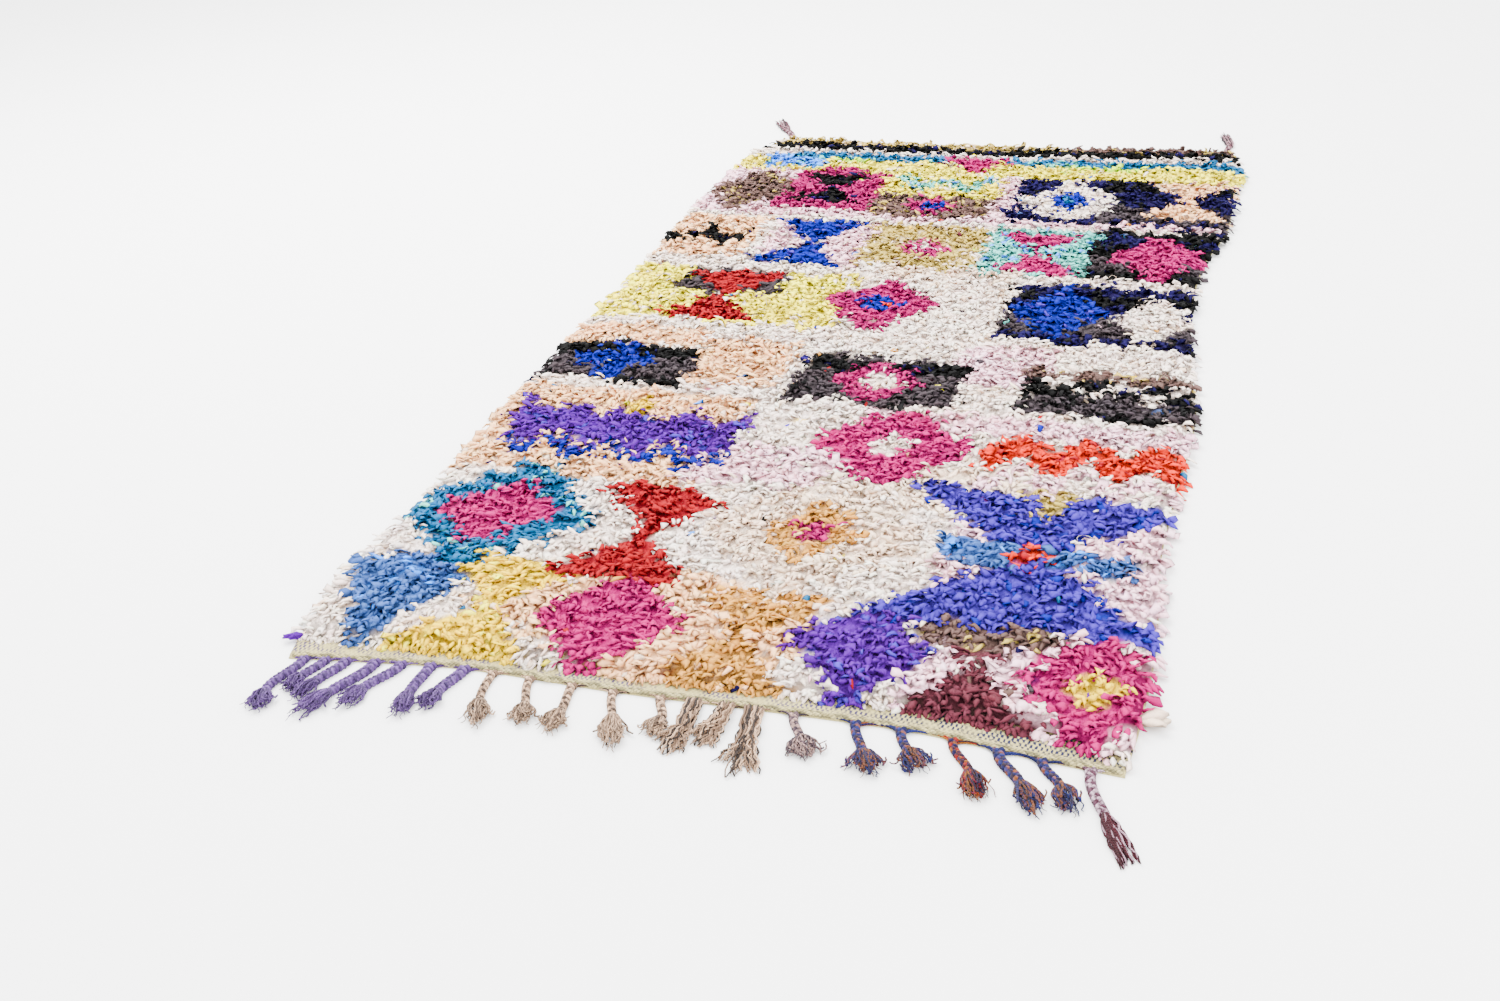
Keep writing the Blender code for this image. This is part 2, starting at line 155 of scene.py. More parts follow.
# Rag dyes: plain colour in sRGB, the rag's cut, and the dye that strays into it
Dye = namedtuple("Dye", "colour cut stray")
DYES = {
    "cream": Dye((250, 230, 218), "wool", "bone"),
    "bone": Dye((239, 211, 186), "wool", "cream"),
    "peach": Dye((249, 191, 140), "jersey", "bone"),
    "blush": Dye((249, 197, 210), "jersey", "cream"),
    "hot_pink": Dye((170, 0, 98), "wool", "rose"),
    "rose": Dye((156, 6, 90), "wool", "hot_pink"),
    "red": Dye((144, 0, 24), "wool", "red"),
    "royal": Dye((4, 24, 136), "jersey", "periwinkle"),
    "teal": Dye((0, 88, 134), "satin", "aqua"),
    "aqua": Dye((101, 196, 184), "jersey", "pale_blue"),
    "pale_blue": Dye((64, 139, 247), "jersey", "aqua"),
    "steel": Dye((60, 92, 156), "jersey", "pale_blue"),
    "periwinkle": Dye((63, 42, 156), "jersey", "royal"),
    "purple": Dye((80, 8, 138), "wool", "periwinkle"),
    "lemon": Dye((250, 232, 50), "jersey", "cream"),
    "yellow": Dye((240, 200, 10), "wool", "lemon"),
    "lime": Dye((200, 244, 30), "jersey", "lemon"),
    "orange": Dye((204, 34, 0), "satin", "red"),
    "charcoal": Dye((58, 50, 54), "wool", "black"),
    "black": Dye((5, 4, 5), "jersey", "navy"),
    "navy": Dye((20, 6, 58), "jersey", "black"),
    "taupe": Dye((95, 72, 66), "wool", "khaki"),
    "burgundy": Dye((87, 37, 48), "wool", "taupe"),
    "khaki": Dye((182, 157, 78), "wool", "bone"),
    "tan": Dye((198, 140, 64), "wool", "peach"),
}

# How each cut of rag lies: mean length, width, thickness, curl, spread of its direction
Cut = namedtuple("Cut", "length width thickness curl scatter")
CUTS = {
    "wool": Cut(0.0270, 0.0090, 0.0028, 0.55, 0.42),
    "jersey": Cut(0.0270, 0.0122, 0.0024, 0.40, 0.36),
    "satin": Cut(0.0260, 0.0106, 0.0022, 0.50, 0.40),
}

# Rags that lie apart from the rows: tufts at the near corners, a strip at the right edge
LooseRag = namedtuple("LooseRag", "x y way length width dye count")
LOOSE_RAGS = (
    LooseRag(-0.652, 0.052, math.pi, 0.024, 0.008, "purple", 9),
    LooseRag(0.640, 0.112, 0.12, 0.042, 0.020, "bone", 3),
    LooseRag(0.600, 0.055, -0.6, 0.026, 0.008, "hot_pink", 5),
)

# Each rag's width at its four stations, its painted shade along it, darkest at the root, and its
# painted shade across it, lighter on the crown
RAG_WIDTHS = (0.55, 1.05, 1.10, 0.38)
RAG_ROOT_SHADE = (0.88, 0.97, 1.01, 1.03)
RAG_SHADE_ACROSS = (0.96, 1.03, 0.96)

# The lowest that rags and yarns lie over the floor
RAG_FLOOR = 0.0008
YARN_FLOOR = 0.0003

# Where the rag ends of a knot stand along the rug, and how far the rows keep from its ends
KNOT_ENDS = (-0.0064, 0.0, 0.0064)
RIM_ROWS = (-0.001, 0.004)
NEAR_MARGIN = 0.009
FAR_MARGIN = 0.014

# The studio: lamps aimed at the rug's middle, and the camera, placed over the plan
Lamp = namedtuple("Lamp", "name power size place")
LAMPS = (
    Lamp("key", 620.0, 3.0, (-1.9, 1.2, 3.4)),
    Lamp("fill", 220.0, 3.5, (2.8, -2.2, 3.0)),
)
CAMERA_PLACE = (0.77264, -1.81485, 1.43033)
CAMERA_RIGHT = (0.95224, 0.29851, -0.06423)
CAMERA_AHEAD = (-0.29127, 0.82490, -0.48446)
CAMERA_LENS = 40.27

# The design, painted in this order over the plan. Shapes are centred at x, y.
Motif = namedtuple("Motif", "shape x y wide long dye")
DESIGN = (
    # Lower ground
    Motif("block", 0.00, 0.50, 1.50, 1.00, "cream"),
    Motif("block", -0.45, 0.80, 0.52, 0.36, "peach"),
    Motif("block", 0.50, 0.34, 0.42, 0.60, "blush"),
    Motif("block", 0.25, 0.70, 0.30, 0.16, "bone"),
    Motif("block", -0.08, 0.72, 0.28, 0.14, "blush"),
    Motif("block", 0.36, 0.97, 0.60, 0.12, "blush"),
    Motif("lozenge", -0.10, 0.20, 0.70, 0.34, "peach"),
    # Near row of hourglasses and half lozenges
    Motif("down", -0.56, 0.17, 0.27, 0.26, "steel"),
    Motif("hourglass", -0.39, 0.19, 0.25, 0.28, "yellow"),
    Motif("lozenge", -0.18, 0.19, 0.27, 0.30, "hot_pink"),
    Motif("hourglass", 0.04, 0.18, 0.23, 0.27, "tan"),
    Motif("lozenge", 0.22, 0.19, 0.23, 0.28, "purple"),
    Motif("hourglass", 0.40, 0.18, 0.23, 0.28, "burgundy"),
    Motif("block", 0.40, 0.27, 0.20, 0.07, "taupe"),
    Motif("lozenge", 0.57, 0.17, 0.23, 0.31, "hot_pink"),
    Motif("lozenge", 0.57, 0.17, 0.08, 0.11, "yellow"),
    # Middle row of the lower third
    Motif("stepped", -0.50, 0.47, 0.36, 0.36, "teal"),
    Motif("stepped", -0.50, 0.47, 0.22, 0.22, "hot_pink"),
    Motif("hourglass", -0.22, 0.45, 0.24, 0.30, "red"),
    Motif("stepped", 0.06, 0.51, 0.36, 0.40, "bone"),
    Motif("stepped", 0.06, 0.51, 0.16, 0.18, "tan"),
    Motif("lozenge", 0.06, 0.51, 0.07, 0.08, "rose"),
    Motif("hourglass", 0.43, 0.50, 0.46, 0.42, "periwinkle"),
    Motif("block", 0.43, 0.50, 0.32, 0.060, "steel"),
    Motif("lozenge", 0.43, 0.50, 0.08, 0.10, "orange"),
    Motif("down", 0.43, 0.67, 0.10, 0.10, "khaki"),
    # Upper row of the lower third
    Motif("zigzag", -0.40, 0.82, 0.46, 0.14, "purple"),
    Motif("zigzag", -0.40, 0.72, 0.46, 0.035, "royal"),
    Motif("lozenge", -0.40, 0.91, 0.08, 0.09, "yellow"),
    Motif("stepped", 0.12, 0.84, 0.29, 0.30, "hot_pink"),
    Motif("lozenge", 0.12, 0.84, 0.09, 0.10, "cream"),
    Motif("zigzag", 0.47, 0.85, 0.36, 0.10, "orange"),
    Motif("zigzag", 0.47, 0.76, 0.36, 0.04, "blush"),
    # First register
    Motif("block", 0.00, 1.14, 1.50, 0.32, "cream"),
    Motif("block", -0.26, 1.14, 0.18, 0.22, "peach"),
    Motif("block", 0.26, 1.20, 0.20, 0.18, "blush"),
    Motif("block", -0.56, 1.25, 0.36, 0.10, "peach"),
    Motif("block", -0.53, 1.10, 0.36, 0.17, "black"),
    Motif("block", -0.53, 1.08, 0.36, 0.10, "charcoal"),
    Motif("cross", -0.53, 1.11, 0.16, 0.17, "royal"),
    Motif("block", 0.03, 1.10, 0.34, 0.21, "charcoal"),
    Motif("block", 0.03, 1.17, 0.34, 0.05, "black"),
    Motif("lozenge", 0.03, 1.10, 0.20, 0.19, "rose"),
    Motif("lozenge", 0.03, 1.10, 0.10, 0.10, "cream"),
    Motif("block", 0.50, 1.11, 0.38, 0.20, "black"),
    Motif("block", 0.50, 1.19, 0.38, 0.04, "taupe"),
    Motif("block", 0.50, 1.06, 0.36, 0.08, "charcoal"),
    Motif("zigzag", 0.50, 1.13, 0.30, 0.035, "cream"),
    # Second register
    Motif("block", 0.00, 1.49, 1.50, 0.34, "cream"),
    Motif("block", -0.42, 1.48, 0.58, 0.29, "lemon"),
    Motif("block", -0.42, 1.56, 0.24, 0.13, "charcoal"),
    Motif("hourglass", -0.42, 1.48, 0.22, 0.28, "red"),
    Motif("stepped", -0.06, 1.49, 0.23, 0.27, "rose"),
    Motif("stepped", -0.06, 1.49, 0.15, 0.17, "hot_pink"),
    Motif("lozenge", -0.06, 1.49, 0.10, 0.10, "royal"),
    Motif("lozenge", -0.06, 1.49, 0.04, 0.04, "orange"),
    Motif("block", 0.44, 1.49, 0.46, 0.31, "navy"),
    Motif("block", 0.44, 1.43, 0.46, 0.10, "charcoal"),
    Motif("block", 0.44, 1.57, 0.46, 0.05, "black"),
    Motif("lozenge", 0.33, 1.49, 0.21, 0.29, "royal"),
    Motif("lozenge", 0.52, 1.48, 0.17, 0.26, "cream"),
    # Third register
    Motif("block", 0.00, 1.83, 1.50, 0.32, "cream"),
    Motif("block", -0.30, 1.83, 0.24, 0.30, "blush"),
    Motif("block", 0.05, 1.68, 0.30, 0.05, "bone"),
    Motif("block", -0.58, 1.84, 0.26, 0.27, "peach"),
    Motif("zigzag", -0.58, 1.84, 0.22, 0.06, "black"),
    Motif("hourglass", -0.31, 1.83, 0.22, 0.28, "royal"),
    Motif("block", -0.04, 1.84, 0.28, 0.27, "khaki"),
    Motif("lozenge", -0.04, 1.84, 0.12, 0.14, "hot_pink"),
    Motif("lozenge", -0.04, 1.84, 0.06, 0.07, "cream"),
    Motif("block", 0.23, 1.84, 0.24, 0.28, "aqua"),
    Motif("hourglass", 0.23, 1.83, 0.19, 0.25, "hot_pink"),
    Motif("block", 0.51, 1.84, 0.32, 0.31, "black"),
    Motif("block", 0.51, 1.92, 0.32, 0.05, "navy"),
    Motif("block", 0.51, 1.78, 0.32, 0.09, "charcoal"),
    Motif("lozenge", 0.50, 1.83, 0.22, 0.28, "hot_pink"),
    # Fourth register
    Motif("block", 0.00, 2.19, 1.50, 0.36, "blush"),
    Motif("block", -0.36, 2.21, 0.26, 0.30, "rose"),
    Motif("stepped", -0.57, 2.18, 0.22, 0.30, "taupe"),
    Motif("hourglass", -0.36, 2.21, 0.18, 0.22, "black"),
    Motif("block", -0.08, 2.11, 0.30, 0.18, "taupe"),
    Motif("block", -0.08, 2.28, 0.30, 0.18, "lemon"),
    Motif("lozenge", -0.08, 2.12, 0.14, 0.15, "rose"),
    Motif("lozenge", -0.08, 2.12, 0.06, 0.07, "royal"),
    Motif("zigzag", -0.08, 2.28, 0.26, 0.05, "aqua"),
    Motif("block", 0.38, 2.20, 0.52, 0.35, "navy"),
    Motif("block", 0.50, 2.10, 0.36, 0.10, "charcoal"),
    Motif("block", 0.50, 2.31, 0.36, 0.05, "black"),
    Motif("stepped", 0.25, 2.19, 0.24, 0.29, "cream"),
    Motif("lozenge", 0.25, 2.19, 0.13, 0.14, "royal"),
    Motif("lozenge", 0.25, 2.19, 0.05, 0.05, "teal"),
    Motif("hourglass", 0.53, 2.22, 0.20, 0.27, "peach"),
    # Stripes of the far end
    Motif("block", 0.00, 2.406, 1.50, 0.100, "lemon"),
    Motif("block", -0.51, 2.430, 0.17, 0.110, "pale_blue"),
    Motif("block", 0.30, 2.440, 0.20, 0.050, "lime"),
    Motif("block", -0.36, 2.440, 0.09, 0.030, "lime"),
    Motif("block", 0.05, 2.482, 1.20, 0.053, "teal"),
    Motif("block", 0.20, 2.470, 0.10, 0.030, "aqua"),
    Motif("lozenge", -0.02, 2.470, 0.20, 0.170, "hot_pink"),
    Motif("block", 0.00, 2.521, 1.50, 0.026, "cream"),
    Motif("block", 0.00, 2.560, 1.50, 0.053, "black"),
    Motif("block", -0.25, 2.625, 0.90, 0.078, "khaki"),
    Motif("block", 0.42, 2.625, 0.50, 0.078, "taupe"),
)


def linear(colour):
    """An sRGB colour, 0 to 255, as the scene's linear light."""
    c = np.asarray(colour, dtype=float) / 255
    return np.where(c <= 0.04045, c / 12.92, ((c + 0.055) / 1.055) ** 2.4)


def opaque(colour):
    """An sRGB colour, 0 to 255, as a shader's value."""
    return (*linear(colour), 1.0)


def plain_dyes(dye):
    """The linear colours of dyes given by index."""
    return linear([each.colour for each in DYES.values()])[dye]


def cuts_of(dye):
    """The index of the cut that each dye, given by index, is used in."""
    cuts = list(CUTS)
    return np.array([cuts.index(each.cut) for each in DYES.values()])[dye]


def strays_of(dye):
    """The index of the dye that strays into each dye given by index."""
    names = list(DYES)
    return np.array([names.index(each.stray) for each in DYES.values()])[dye]


def in_row(x, y):
    """A plan position in the part's frame."""
    return np.stack([np.asarray(x) - PLAN_CENTRE[0], np.asarray(y) - PLAN_CENTRE[1]], axis=-1)


def raised(x, y, height):
    """Plan positions at a height, in the part's frame."""
    return np.concatenate([in_row(x, y), height[:, None]], axis=1)


def in_plan(places):
    """The plan position of places in the part's frame."""
    return places[:, 0] + PLAN_CENTRE[0], places[:, 1] + PLAN_CENTRE[1]


def towards(start, end):
    """The level way from one place to another."""
    return (end - start) / np.linalg.norm(end - start)


def square_to(way):
    """The level way to the left of another."""
    return np.array([-way[1], way[0]])


def smooth(stations, key, value, where):
    """A table's values at places between its rows, on one smooth curve through them."""
    at = np.array([getattr(s, key) for s in stations])
    of = np.array([getattr(s, value) for s in stations])
    slope = np.gradient(of, at)
    slope[1:-1] = (of[2:] - of[:-2]) / (at[2:] - at[:-2])
    where = np.clip(np.asarray(where, dtype=float), at[0], at[-1])
    i = np.clip(np.searchsorted(at, where, side="right") - 1, 0, len(at) - 2)
    span = at[i + 1] - at[i]
    t = (where - at[i]) / span
    rise = of[i] * (2 * t**3 - 3 * t**2 + 1) + of[i + 1] * (3 * t**2 - 2 * t**3)
    return rise + span * (slope[i] * (t**3 - 2 * t**2 + t) + slope[i + 1] * (t**3 - t**2))


def left_edge(y):
    return smooth(EDGES, "y", "left", y)


def right_edge(y):
    return smooth(EDGES, "y", "right", y)


def near_end(x):
    return smooth(ENDS, "x", "near", x)


def pile_start(x):
    return smooth(ENDS, "x", "pile", x)


def far_end(x):
    return smooth(ENDS, "x", "far", x)


def ripple(x, y, scale, seed):
    """Smooth, seeded unevenness over the plan, about -1 to 1, with bumps about scale across."""
    rng = np.random.default_rng(seed)
    total = 0.0
    for _ in range(7):
        angle = rng.uniform(0, 2 * math.pi)
        rate = 2 * math.pi / (scale * rng.uniform(1.2, 3.0))
        shift = rng.uniform(0, 2 * math.pi)
        total = total + np.sin(rate * (x * math.cos(angle) + y * math.sin(angle)) + shift)
    return total / 3.6


def covers(motif, x, y):
    """Which places a motif of the design covers."""
    across = np.abs(x - motif.x) / (motif.wide / 2)
    along = (y - motif.y) / (motif.long / 2)
    far = np.abs(along)
    inside = (across <= 1) & (far <= 1)
    turn = np.abs(((x - motif.x) / 0.115) % 1 - 0.5) * 2
    bent = motif.y + (turn - 0.5) * 0.075
    shapes = {
        "block": inside,
        "lozenge": across + far <= 1,
        "stepped": np.ceil(across * 4) / 4 + np.ceil(far * 4) / 4 <= 1.25,
        "hourglass": inside & (across <= far + 0.08),
        "down": inside & (across <= (along + 1) / 2),
        "cross": inside & ((across <= 0.34) | (far <= 0.34)),
        "zigzag": (across <= 1) & (np.abs(y - bent) <= motif.long / 2),
    }
    return shapes[motif.shape]


def dye_at(x, y, rng):
    """The index of the dye at each knot, with hand-made edges and stray rags."""
    wander_x = x + 0.009 * ripple(x, y, 0.05, 5) + rng.normal(0, 0.0025, x.shape)
    striped = np.clip((y - 2.42) / 0.04, 0, 1)
    wander_y = 0.008 * ripple(x, y, 0.06, 6) + 0.012 * ripple(x, y * 0.1, 0.4, 9)
    wander_y = y + wander_y * (1 - striped) + (2.64 - far_end(x)) * striped
    names = list(DYES)
    chosen = np.full(x.shape, names.index("cream"))
    for motif in DESIGN:
        chosen[covers(motif, wander_x, wander_y)] = names.index(motif.dye)
    astray = rng.random(x.shape) < 0.05 + 0.16 * (ripple(x, y, 0.09, 12) > 0.5)
    chosen = np.where(astray, strays_of(chosen), chosen)
    foreign = rng.random(x.shape) < 0.004
    return np.where(foreign, rng.integers(0, len(names), x.shape), chosen)


class Field:
    """A number that varies over a surface. Arithmetic on it adds Math nodes."""

    def __init__(self, finish, socket):
        self.finish = finish
        self.socket = socket

    def math(self, operation, *values):
        inputs = dict(enumerate(values))
        return self.finish.node("ShaderNodeMath", {"operation": operation}, inputs)

    def __add__(self, other):
        return self.math("ADD", self, other)

    def __radd__(self, other):
        return self.math("ADD", other, self)

    def __sub__(self, other):
        return self.math("SUBTRACT", self, other)

    def __rsub__(self, other):
        return self.math("SUBTRACT", other, self)

    def __mul__(self, other):
        return self.math("MULTIPLY", self, other)

    def __rmul__(self, other):
        return self.math("MULTIPLY", other, self)

    def __gt__(self, other):
        return self.math("GREATER_THAN", self, other)

    def sine(self):
        return self.math("SINE", self)

    def swing(self):
        """A sine wave between 0 and 1."""
        return self.sine() * 0.5 + 0.5

    def clamp(self):
        return self.math("MAXIMUM", self.math("MINIMUM", self, 1.0), 0.0)


class Finish:
    """One procedural material."""

    def __init__(self, name, **constants):
        self.material = bpy.data.materials.new(name)
        self.material.use_nodes = True
        self.tree = self.material.node_tree
        self.shader = self.tree.nodes["Principled BSDF"]
        for socket, value in constants.items():
            self.shader.inputs[socket.replace("_", " ")].default_value = value

    def put(self, socket, value):
        if isinstance(value, Field):
            self.tree.links.new(value.socket, socket)
        else:
            socket.default_value = value

    def node(self, kind, settings=None, inputs=None, output=0):
        """Adds a node with its settings and inputs, and gives back one of its outputs."""
        node = self.tree.nodes.new(kind)
        for key, value in (settings or {}).items():
            if key == "stops":
                ramp = node.color_ramp
                while len(ramp.elements) < len(value):
                    ramp.elements.new(0.5)
                for element, (place, colour) in zip(ramp.elements, value):
                    element.position = place
                    element.color = (*colour, 1.0)
            else:
                setattr(node, key, value)
        for key, value in (inputs or {}).items():
            self.put(node.inputs[key], value)
        return Field(self, node.outputs[output])

    def feed(self, **fields):
        for socket, field in fields.items():
            self.put(self.shader.inputs[socket.replace("_", " ")], field)

    def place(self):
        return self.node("ShaderNodeTexCoord", output="Object")

    def axis(self, field, number):
        """The first, second or third number of a vector."""
        return self.node("ShaderNodeSeparateXYZ", inputs={0: field}, output=number)

    def along(self, name):
        """A piece's own map, as its first and second numbers."""
        both = self.node("ShaderNodeUVMap", {"uv_map": name})
        return self.axis(both, 0), self.axis(both, 1)

    # The colour written on each point: its dye, and on the rags also their painted shade
    def dyed(self):
        return self.node("ShaderNodeAttribute", {"attribute_name": "dye"}, output="Color")

    def noise(self, scale, detail=3.0, roughness=0.55, at=None):
        inputs = {"Scale": scale, "Detail": detail, "Roughness": roughness}
        inputs["Vector"] = at or self.place()
        return self.node("ShaderNodeTexNoise", inputs=inputs, output="Fac")

    def blend(self, factor, first, second, mode="MIX"):
        settings = {"data_type": "RGBA", "blend_type": mode}
        return self.node("ShaderNodeMix", settings, {0: factor, 6: first, 7: second}, output=2)

    def colour(self, colour, shade):
        """Feeds the base colour, made lighter or darker by a shade."""
        grey = self.node("ShaderNodeCombineColor", inputs={0: shade, 1: shade, 2: shade})
        self.feed(Base_Color=self.blend(1.0, colour, grey, "MULTIPLY"))

    def bump(self, height, depth):
        inputs = {"Height": height, "Distance": depth, "Strength": 1.0}
        self.feed(Normal=self.node("ShaderNodeBump", inputs=inputs))


def rag_finish(name, roughness, sheen, rib, rib_depth):
    """Dyed rag cloth: fine ribs along each strip, crinkles, and uneven dye, with painted shade in
    the hollows of the ribs and crinkles.
    """
    finish = Finish(name, Metallic=0.0, Sheen_Weight=sheen, Specular_IOR_Level=0.06)
    across, along = finish.along("strip")
    crinkle = finish.noise(300.0, 5.0, 0.62)
    patch = finish.noise(95.0, 2.0)
    ribs = (across * (2 * math.pi / rib) + crinkle * 11.0).swing()
    # Painted shade: the dye darkens in the hollows of the ribs and crinkles, where the bump
    # lowers the cloth; the patches are uneven dye
    finish.colour(finish.dyed(), 0.66 + patch * 0.22 + ribs * 0.10 + crinkle * 0.36)
    finish.feed(Roughness=(roughness - 0.06 + crinkle * 0.12))
    finish.bump(ribs * 0.18 + crinkle * 1.4 + (along * 700.0).sine() * 0.06, rib_depth)
    return finish.material


def bed_finish():
    """The lower rags of the pile: crumpled tufts, with painted shade in the gaps between them."""
    finish = Finish("pile base", Metallic=0.0, Roughness=0.95, Specular_IOR_Level=0.1)
    wander = finish.node("ShaderNodeTexNoise", inputs={"Scale": 110.0}, output="Color")
    shifts = {0: wander, 1: (0.012, 0.012, 0.0), 2: finish.place()}
    turned = finish.node("ShaderNodeVectorMath", {"operation": "MULTIPLY_ADD"}, shifts)
    squash = {0: turned, 1: (1.0, 0.62, 0.0)}
    tufts = finish.node("ShaderNodeVectorMath", {"operation": "MULTIPLY"}, squash)
    cells = {"Vector": tufts, "Scale": 150.0}
    gap = finish.node("ShaderNodeTexVoronoi", {"feature": "F1"}, cells, "Distance")
    crinkle = finish.noise(420.0, 3.0)
    tuft = (1.05 - gap * 1.15).clamp()
    # Painted shade: the dye darkens towards each cell's edge, in the gaps between tufts, and in
    # the hollows of the crinkles
    finish.colour(finish.dyed(), 0.70 + tuft * 0.22 + crinkle * 0.12)
    finish.bump(tuft + crinkle * 0.3, 0.006)
    return finish.material


def yarn_finish(name, roughness):
    """Twisted yarn: slanting plies along each strand, and loose fibres, with painted shade
    between the plies.
    """
    finish = Finish(name, Metallic=0.0, Sheen_Weight=0.04, Specular_IOR_Level=0.15)
    around, along = finish.along("strip")
    fibre = finish.noise(900.0, 4.0)
    tuft = finish.noise(260.0, 2.0)
    plies = (around * (4 * math.pi) + along * (2 * math.pi / 0.0045)).swing()
    # Painted shade: the dye darkens between the plies and in the hollows of the fibres, where the
    # bump lowers the yarn; tuft is uneven tone
    finish.colour(finish.dyed(), 0.36 + plies * 0.50 + fibre * 0.30 + tuft * 0.20)
    finish.feed(Roughness=(roughness - 0.05 + fibre * 0.1))
    finish.bump(plies + fibre * 0.8, 0.0007)
    return finish.material


def weave_finish(knot_row, knot):
    """Plain weave: ribs of weft over the warps, whose flecks show violet or blue.

    The backs of the knots show in rows on its underside.
    """
    finish = Finish("ground weave", Metallic=0.0, Sheen_Weight=0.03, Specular_IOR_Level=0.15)
    across, along = finish.along("weave")
    fuzz = finish.noise(700.0, 4.0)
    wobble = finish.noise(170.0, 2.0)
    drift = finish.noise(24.0, 2.0)
    row = (along + drift * 0.004) * (math.pi / WEFT_PITCH) + wobble * 3.0
    warp = across * (math.pi / WARP_PITCH) + drift * 3.0 + wobble * 3.2
    over = (row.sine() * warp.sine()) * 0.5 + 0.5
    rib = (row * 4.0).swing()

    # The flecks: more of them to the right, none on the edge's wefts or far under the pile
    patches = finish.noise(16.0, 3.0) + finish.noise(62.0, 2.0) * 0.5 - 0.25
    side = ((across - 0.16) * 6.0).clamp()
    open_part = ((along - 0.010 - drift * 0.006) * 260.0).clamp()
    open_part = open_part * ((0.062 - along) * 160.0).clamp()
    shown = ((patches + side * 0.13 - 0.44) * 7.0).clamp() * open_part
    fleck = ((0.06 + wobble * 0.96 - over) * 6.0).clamp() * shown
    cloth = finish.blend(drift, *(opaque(shade) for shade in CLOTH))
    flecks = finish.blend(side, *(opaque(shade) for shade in FLECKS))
    colour = finish.blend(fleck * 0.97, cloth, flecks)

    # The backs of the knots
    under = 1.0 - (finish.axis(finish.place(), 2) > 0.0006)
    turns = ((along - 0.052 + drift * 0.003) * (2 * math.pi / knot_row) + math.pi / 2).sine()
    beads = (across * (2 * math.pi / knot) + drift * 9.0).swing()
    knots = ((turns + beads * 0.5 - 0.55) * 5.0).clamp() * under * (along > 0.045)
    colour = finish.blend(knots * 0.92, colour, finish.dyed())

    # Painted shade: the colour darkens where the weft dips between the warps and in the hollows
    # of the fuzz, where the bump lowers the cloth
    finish.colour(colour, 0.66 + over * 0.30 + fuzz * 0.20 - shown * (0.06 + side * 0.10))
    finish.feed(Roughness=(0.88 + fuzz * 0.08))
    finish.bump(over * 0.8 + rib * 0.2 + fuzz * 0.30 + knots * beads, 0.0016)
    return finish.material


def floor_finish(colour):
    finish = Finish("studio floor", Metallic=0.0, Roughness=0.8)
    grain = finish.noise(3.0, 2.0)
    shades = ((0.0, [c * 0.99 for c in colour]), (1.0, list(colour)))
    finish.feed(Base_Color=finish.node("ShaderNodeValToRGB", {"stops": shades}, {0: grain}))
    return finish.material


def strips_mesh(name, places, dyes, across, along):
    """Closed strips from arrays of strip, station and point round it.

    dyes is each point's colour, and across and along are its place on the strip.
    """
    count, stations, sides = places.shape[:3]
    index = np.arange(count * stations * sides).reshape(count, stations, sides)
    here, ahead = index[:, :-1, :], index[:, 1:, :]
    walls = np.stack(
        [here, np.roll(here, -1, axis=2), np.roll(ahead, -1, axis=2), ahead], axis=-1
    ).reshape(-1, 4)
    start, end = index[:, 0, ::-1], index[:, -1, :]
    loops = np.concatenate([walls.ravel(), start.ravel(), end.ravel()])
    sizes = np.concatenate([np.full(len(walls), 4), np.full(count * 2, sides)])
    mesh = bpy.data.meshes.new(name)
    mesh.vertices.add(index.size)
    mesh.vertices.foreach_set("co", places.reshape(-1).astype(np.float32))
    mesh.loops.add(len(loops))
    mesh.loops.foreach_set("vertex_index", loops.astype(np.int32))
    mesh.polygons.add(len(sizes))
    starts = np.concatenate([[0], np.cumsum(sizes)[:-1]])
    mesh.polygons.foreach_set("loop_start", starts.astype(np.int32))
    mesh.polygons.foreach_set("use_smooth", np.ones(len(sizes), dtype=bool))
    mesh.update(calc_edges=True)
    mesh.validate()
    colour_points(mesh, dyes.reshape(-1, 3))
    map_loops(mesh, "strip", np.stack([across.reshape(-1), along.reshape(-1)], axis=-1)[loops])
    return mesh


def colour_points(mesh, colours):
    """Writes the colour of each point of a mesh, its dye with any painted shade, which its
    material reads.
    """
    layer = mesh.color_attributes.new("dye", "FLOAT_COLOR", "POINT")
    whole = np.concatenate([colours, np.ones((len(colours), 1))], axis=1)
    layer.data.foreach_set("color", whole.reshape(-1).astype(np.float32))


def map_loops(mesh, name, places):
    """Writes a map from the place of each face corner."""
    layer = mesh.uv_layers.new(name=name)
    layer.data.foreach_set("uv", places.reshape(-1).astype(np.float32))


def settle(piece, material, slot, *nodes):
    """Finishes a piece, which rides on the rug and stands for the nodes named."""
    piece.data.materials.append(material)
    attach(piece, "root")
    if nodes:
        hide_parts(*nodes)


def add_piece(name, mesh, material, slot, *nodes):
    """Adds a mesh to the scene as a finished piece."""
    piece = bpy.data.objects.new(name, mesh)
    bpy.context.scene.collection.objects.link(piece)
    settle(piece, material, slot, *nodes)


def pile_rim(x, y):
    """How far inside the pile's left, right, near and far edge each place is."""
    return np.stack([x - left_edge(y), right_edge(y) - x, y - pile_start(x), far_end(x) - y])


